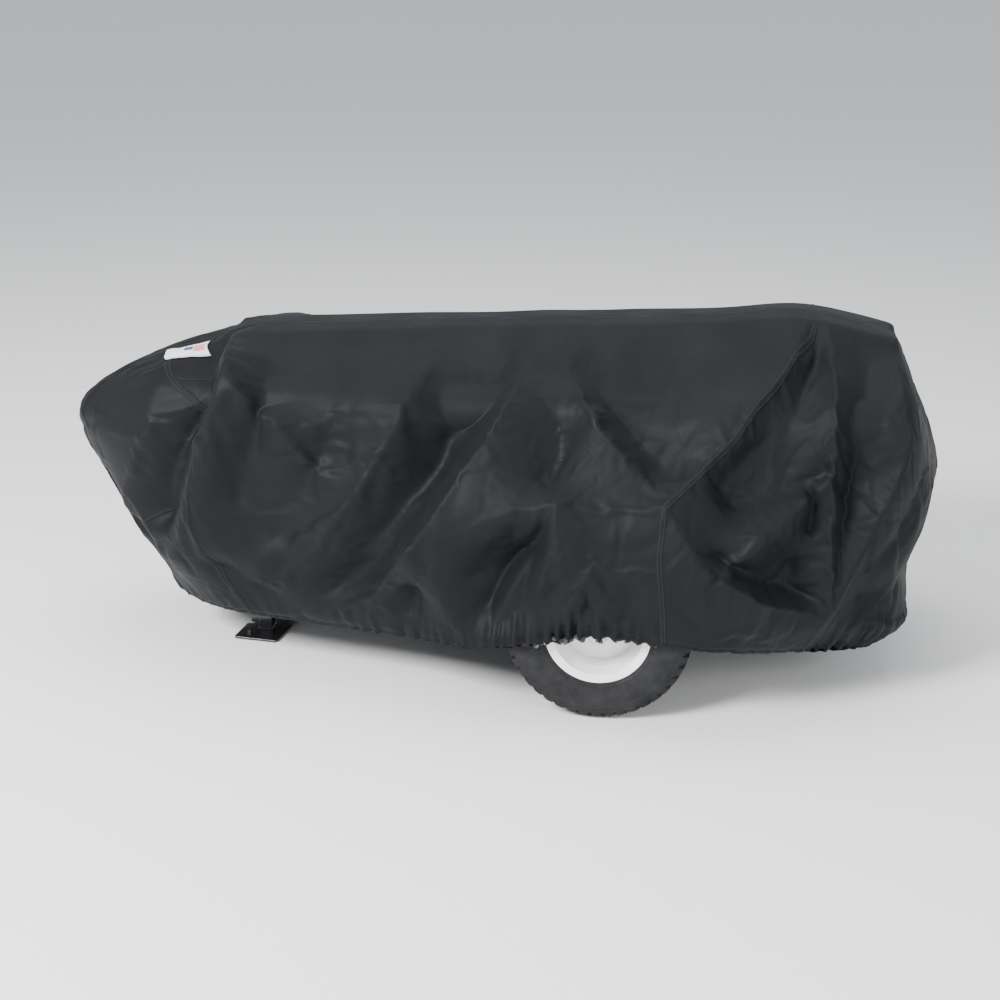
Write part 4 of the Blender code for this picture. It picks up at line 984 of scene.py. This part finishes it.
def bar(bm, start, end, depth, half):
    """A flat bar from start to end, half wide on each side, with that depth."""
    along = (end - start).normalized()
    aside = along.cross(depth.normalized()) * half
    corners = [start - aside, end - aside * 0.75, end + aside * 0.75, start + aside]
    low = [bm.verts.new(p) for p in corners]
    high = [bm.verts.new(p + depth) for p in corners]
    bm.faces.new(low)
    bm.faces.new(high[::-1])
    for k in range(4):
        m = (k + 1) % 4
        bm.faces.new((low[m], low[k], high[k], high[m]))


def on_face(node, axis, side, inset, size):
    """Four places near the corners of a CAD box's face, and the way out of it."""
    low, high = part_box(node)
    out = Vector((0, 0, 0))
    out[axis] = side
    others = [k for k in range(3) if k != axis]
    places = []
    for a in (low[others[0]] + inset, high[others[0]] - inset):
        for b in (low[others[1]] + inset, high[others[1]] - inset):
            place = Vector((0, 0, 0))
            place[axis] = (high if side > 0 else low)[axis]
            place[others[0]], place[others[1]] = a, b
            places.append((place, out, size))
    return places


def make_fasteners(zinc):
    bm = bmesh.new()
    faces = on_face("axle_gearbox", 2, -1, 0.010, 0.0045) + on_face("spinner_gearbox", 2, -1, 0.010, 0.004)
    faces += on_face("axle_gearbox", 0, 1, 0.010, 0.004) + on_face("spinner_gearbox", 0, 1, 0.010, 0.004)
    faces += on_face("rear_crossmember", 0, 1, 0.012, 0.005)
    for place, out, size in faces:
        hex_bolt(bm, place, out, size)
    soften(piece("machine_bolts", bm, zinc, "frame"), 0.0003)


# ---- materials ----

def surface(name, color, roughness, metallic=0.0, **inputs):
    material = bpy.data.materials.new(name)
    material.use_nodes = True
    shader = material.node_tree.nodes["Principled BSDF"]
    shader.inputs["Base Color"].default_value = (*color, 1)
    shader.inputs["Roughness"].default_value = roughness
    shader.inputs["Metallic"].default_value = metallic
    for key, value in inputs.items():
        shader.inputs[key.replace("_", " ")].default_value = value
    return material


def add_node(material, kind, **settings):
    node = material.node_tree.nodes.new("ShaderNode" + kind)
    for key, value in settings.items():
        if hasattr(node, key):
            setattr(node, key, value)
        else:
            node.inputs[key.replace("_", " ")].default_value = value
    return node


def join(material, start, end, out=0, to=0):
    material.node_tree.links.new(start.outputs[out], end.inputs[to])


def noise(material, scale, detail=3.0, source="Object", rough=0.5, stretch=None):
    where = add_node(material, "TexCoord")
    node = add_node(material, "TexNoise", Scale=scale, Detail=detail, Roughness=rough)
    if stretch is None:
        join(material, where, node, source, "Vector")
    else:
        mapping = add_node(material, "Mapping")
        mapping.inputs["Scale"].default_value = stretch
        join(material, where, mapping, source, "Vector")
        join(material, mapping, node, 0, "Vector")
    return node


def spread(material, source, low, high, socket, from_low=0.3, from_high=0.7):
    """Drives a shader's number socket from low to high by a texture."""
    node = add_node(material, "MapRange")
    for key, value in (("From Min", from_low), ("From Max", from_high), ("To Min", low), ("To Max", high)):
        node.inputs[key].default_value = value
    join(material, source, node, 0, "Value")
    join(material, node, material.node_tree.nodes["Principled BSDF"], 0, socket)


def tint(material, source, low, high, from_low=0.35, from_high=0.65):
    """Drives the base colour from one colour to another by a texture."""
    node = add_node(material, "ValToRGB")
    ramp_ = node.color_ramp
    ramp_.elements[0].position, ramp_.elements[1].position = from_low, from_high
    ramp_.elements[0].color, ramp_.elements[1].color = (*low, 1), (*high, 1)
    join(material, source, node, 0, "Fac")
    join(material, node, material.node_tree.nodes["Principled BSDF"], 0, "Base Color")


def relief(material, source, distance, strength=1.0, out=0, before=None):
    """Adds a bump under the shader, after another bump if there is one."""
    node = add_node(material, "Bump")
    node.inputs["Distance"].default_value = distance
    node.inputs["Strength"].default_value = strength
    join(material, source, node, out, "Height")
    if before is not None:
        join(material, before, node, 0, "Normal")
    join(material, node, material.node_tree.nodes["Principled BSDF"], 0, "Normal")
    return node


def painted(name, color, roughness, peel=0.00012, dust=0.08, **inputs):
    material = surface(name, color, roughness, **inputs)
    grain = noise(material, 900, 2)
    bump = relief(material, grain, peel, 0.6)
    relief(material, noise(material, 60, 3), 0.0002, 0.35, before=bump)
    wear = noise(material, 14, 6, rough=0.62)
    spread(material, wear, roughness - dust, roughness + dust * 1.3, "Roughness")
    lighter = tuple(min(1.0, c * 1.25 + 0.004) for c in color)
    tint(material, noise(material, 9, 5), color, lighter)
    return material


def bare_metal(name, color, roughness, stretch=None, **inputs):
    material = surface(name, color, roughness, 1.0, **inputs)
    brushed = noise(material, 240, 4, stretch=stretch)
    relief(material, brushed, 0.00008, 0.5)
    spread(material, noise(material, 30, 5), roughness - 0.07, roughness + 0.12, "Roughness")
    darker = tuple(c * 0.72 for c in color)
    tint(material, noise(material, 18, 5, rough=0.6), darker, color)
    return material


def woven_fabric():
    """Coated polyester: a fine weave, soft handling creases and a dull sheen."""
    material = surface("cover_polyester", FABRIC, 0.5, Sheen_Weight=0.02, Sheen_Roughness=0.4,
                       Specular_IOR_Level=0.12)
    shader = material.node_tree.nodes["Principled BSDF"]
    shader.inputs["Sheen Tint"].default_value = (0.75, 0.82, 0.95, 1)
    where = add_node(material, "TexCoord")
    weave = []
    for direction in ("X", "Y"):
        wave = add_node(material, "TexWave", bands_direction=direction, Scale=WEAVE_SCALE)
        join(material, where, wave, "UV", "Vector")
        weave.append(wave)
    cross = add_node(material, "Math", operation="MAXIMUM")
    join(material, weave[0], cross, 1, 0)
    join(material, weave[1], cross, 1, 1)
    fine = relief(material, cross, 0.00008, 0.45)
    crease = noise(material, 16, 7, "UV", 0.55)
    ridge = add_node(material, "Math", operation="SUBTRACT")
    join(material, crease, ridge, 0, 0)
    ridge.inputs[1].default_value = 0.5
    fold = add_node(material, "Math", operation="ABSOLUTE")
    join(material, ridge, fold)
    creased = relief(material, fold, 0.0065, 0.32, before=fine)
    soft = relief(material, noise(material, 42, 4, "UV", 0.5), 0.0012, 0.35, before=creased)
    join(material, soft, shader, 0, "Normal")
    spread(material, noise(material, 7, 5, "UV"), 0.52, 0.68, "Roughness")
    tint(material, noise(material, 5, 6, "UV", 0.6), FABRIC, tuple(c * 1.22 for c in FABRIC))
    return material


def label_cloth():
    """White woven cloth with a blue and a soft red patch in its upper half."""
    material = surface("label_cloth", (0.62, 0.62, 0.66), 0.6)
    tree = material.node_tree
    where = add_node(material, "TexCoord")
    parts = add_node(material, "SeparateXYZ")
    join(material, where, parts, "UV", 0)

    def within(out, low, high):
        above = add_node(material, "Math", operation="GREATER_THAN")
        below = add_node(material, "Math", operation="LESS_THAN")
        for node, bound in ((above, low), (below, high)):
            join(material, parts, node, out, 0)
            node.inputs[1].default_value = bound
        both = add_node(material, "Math", operation="MULTIPLY")
        join(material, above, both, 0, 0)
        join(material, below, both, 0, 1)
        return both

    last = None
    patches = (((0.42, 0.62), (0.42, 0.80), (0.045, 0.075, 0.19)),
               ((0.64, 0.93), (0.30, 0.80), (0.60, 0.24, 0.26)))
    for (u0, u1), (v0, v1), color in patches:
        both = add_node(material, "Math", operation="MULTIPLY")
        join(material, within("X", u0, u1), both, 0, 0)
        join(material, within("Y", v0, v1), both, 0, 1)
        mix = add_node(material, "MixRGB")
        join(material, both, mix, 0, "Fac")
        if last is None:
            mix.inputs["Color1"].default_value = (0.74, 0.74, 0.77, 1)
        else:
            join(material, last, mix, 0, "Color1")
        mix.inputs["Color2"].default_value = (*color, 1)
        last = mix
    tree.links.new(last.outputs[0], tree.nodes["Principled BSDF"].inputs["Base Color"])
    relief(material, noise(material, 900, 2), 0.0001, 0.5)
    return material


def tyre_rubber():
    material = surface("tyre_rubber", (0.009, 0.0095, 0.0105), 0.72, Specular_IOR_Level=0.3)
    relief(material, noise(material, 420, 4), 0.00025, 0.6)
    spread(material, noise(material, 25, 5), 0.62, 0.86, "Roughness")
    tint(material, noise(material, 22, 6, rough=0.65), (0.006, 0.0064, 0.0072), (0.018, 0.018, 0.019))
    return material


FABRIC = (0.0060, 0.0063, 0.0073)
WEAVE_SCALE = 180.0
MATERIALS = {
    "frame_black": painted("frame_powder_coat", (0.012, 0.012, 0.013), 0.38),
    "gloss_black": painted("stand_enamel", (0.008, 0.008, 0.009), 0.16, 0.00005, 0.04, Coat_Weight=0.6,
                           Coat_Roughness=0.08),
    "rim_white": painted("rim_enamel", (0.88, 0.88, 0.88), 0.32, 0.00006, 0.06),
    "hopper_paint": painted("hopper_powder_coat", (0.055, 0.057, 0.062), 0.42, dust=0.1),
    "housing_iron": painted("housing_casting", (0.11, 0.115, 0.12), 0.55, 0.0007, 0.1),
    "shaft_steel": bare_metal("turned_steel", (0.46, 0.46, 0.46), 0.30),
    "gear_steel": bare_metal("oiled_steel", (0.26, 0.25, 0.24), 0.34),
    "zinc": bare_metal("zinc_plate", (0.58, 0.58, 0.55), 0.32),
    "galvanised": bare_metal("galvanised_sheet", (0.50, 0.51, 0.52), 0.44),
    "stainless": bare_metal("stainless_sheet", (0.56, 0.56, 0.56), 0.28, (1, 14, 1)),
    "tyre": tyre_rubber(),
    "flap_rubber": painted("flap_rubber", (0.016, 0.016, 0.016), 0.68, 0.0002, 0.08),
    "cover_fabric": woven_fabric(),
    "hem_elastic": painted("hem_casing", (0.014, 0.0145, 0.016), 0.7, 0.0004, 0.06, Sheen_Weight=0.3),
    "label_white": label_cloth(),
}
THREAD = painted("thread", (0.020, 0.021, 0.024), 0.6, 0.0001, 0.05)


def dress_cad():
    """Each CAD piece gets its slot's surface and smooth round faces; all but the zinc, stainless, gear
    steel, cover and tyre pieces also get slightly rounded edges.
    """
    plain = {"zinc", "stainless", "gear_steel"}
    for row in frame["record"]["subparts"]:
        obj = NODES[row["node"]]
        obj.data.materials.clear()
        obj.data.materials.append(MATERIALS[row["material_slot"]])
        obj.data.shade_smooth()
        obj.data.set_sharp_from_angle(angle=radians(32))
        if row["material_slot"] not in plain and "cover" not in row["node"] and "tyre" not in row["node"]:
            soften(obj, 0.0007)


# ---- stage ----

FLOOR_SIZE = 120
LIGHT_TARGET = Vector((0, 0, 0.4))


def make_floor():
    bpy.ops.mesh.primitive_plane_add(size=FLOOR_SIZE, location=(0, 0, 0))
    floor = bpy.context.object
    floor.name = "floor"
    floor.data.materials.append(surface("floor_white", (0.93, 0.93, 0.93), 0.7, Specular_IOR_Level=0.2))
    world = bpy.data.worlds.new("studio")
    bpy.context.scene.world = world
    world.use_nodes = True
    background = world.node_tree.nodes["Background"]
    background.inputs["Color"].default_value = (0.93, 0.96, 1.0, 1)
    background.inputs["Strength"].default_value = 0.70


def area_light(name, place, size, power):
    light = bpy.data.lights.new(name, "AREA")
    light.shape = "RECTANGLE"
    light.size, light.size_y = size
    light.energy = power
    obj = link(name, light)
    obj.location = place
    obj.rotation_euler = (LIGHT_TARGET - Vector(place)).to_track_quat("-Z", "Y").to_euler()


def make_camera():
    data = bpy.data.cameras.new("camera")
    data.lens = CAMERA_LENS
    data.sensor_width = 36
    camera = link("camera", data)
    away = Vector((sin(CAMERA_AZIMUTH) * cos(CAMERA_ELEVATION),
                   -cos(CAMERA_AZIMUTH) * cos(CAMERA_ELEVATION), sin(CAMERA_ELEVATION)))
    camera.location = CAMERA_TARGET + CAMERA_DISTANCE * away
    camera.rotation_euler = away.to_track_quat("Z", "Y").to_euler()
    bpy.context.scene.camera = camera


dress_cad()
cover_cloth, full_net, side_net = make_cover(MATERIALS["cover_fabric"])
cloth_places = Cloth(side_net)
make_hem(full_net, MATERIALS["hem_elastic"])
make_seams(cloth_places, MATERIALS["cover_fabric"], THREAD)
make_label(cloth_places, MATERIALS["label_white"], THREAD)
for wheel_side in (-1, 1):
    make_tyre(wheel_side, MATERIALS["tyre"])
    make_rim(wheel_side, MATERIALS["rim_white"])
make_foot(MATERIALS["gloss_black"])
make_chain(MATERIALS["gear_steel"])
make_fasteners(MATERIALS["zinc"])
make_floor()
area_light("key", (-2.6, -3.6, 3.4), (1.6, 1.6), 560)
area_light("fill", (3.4, -3.4, 1.9), (2.0, 2.0), 110)
area_light("top", (0.0, 0.6, 4.6), (4.0, 3.0), 130)
make_camera()
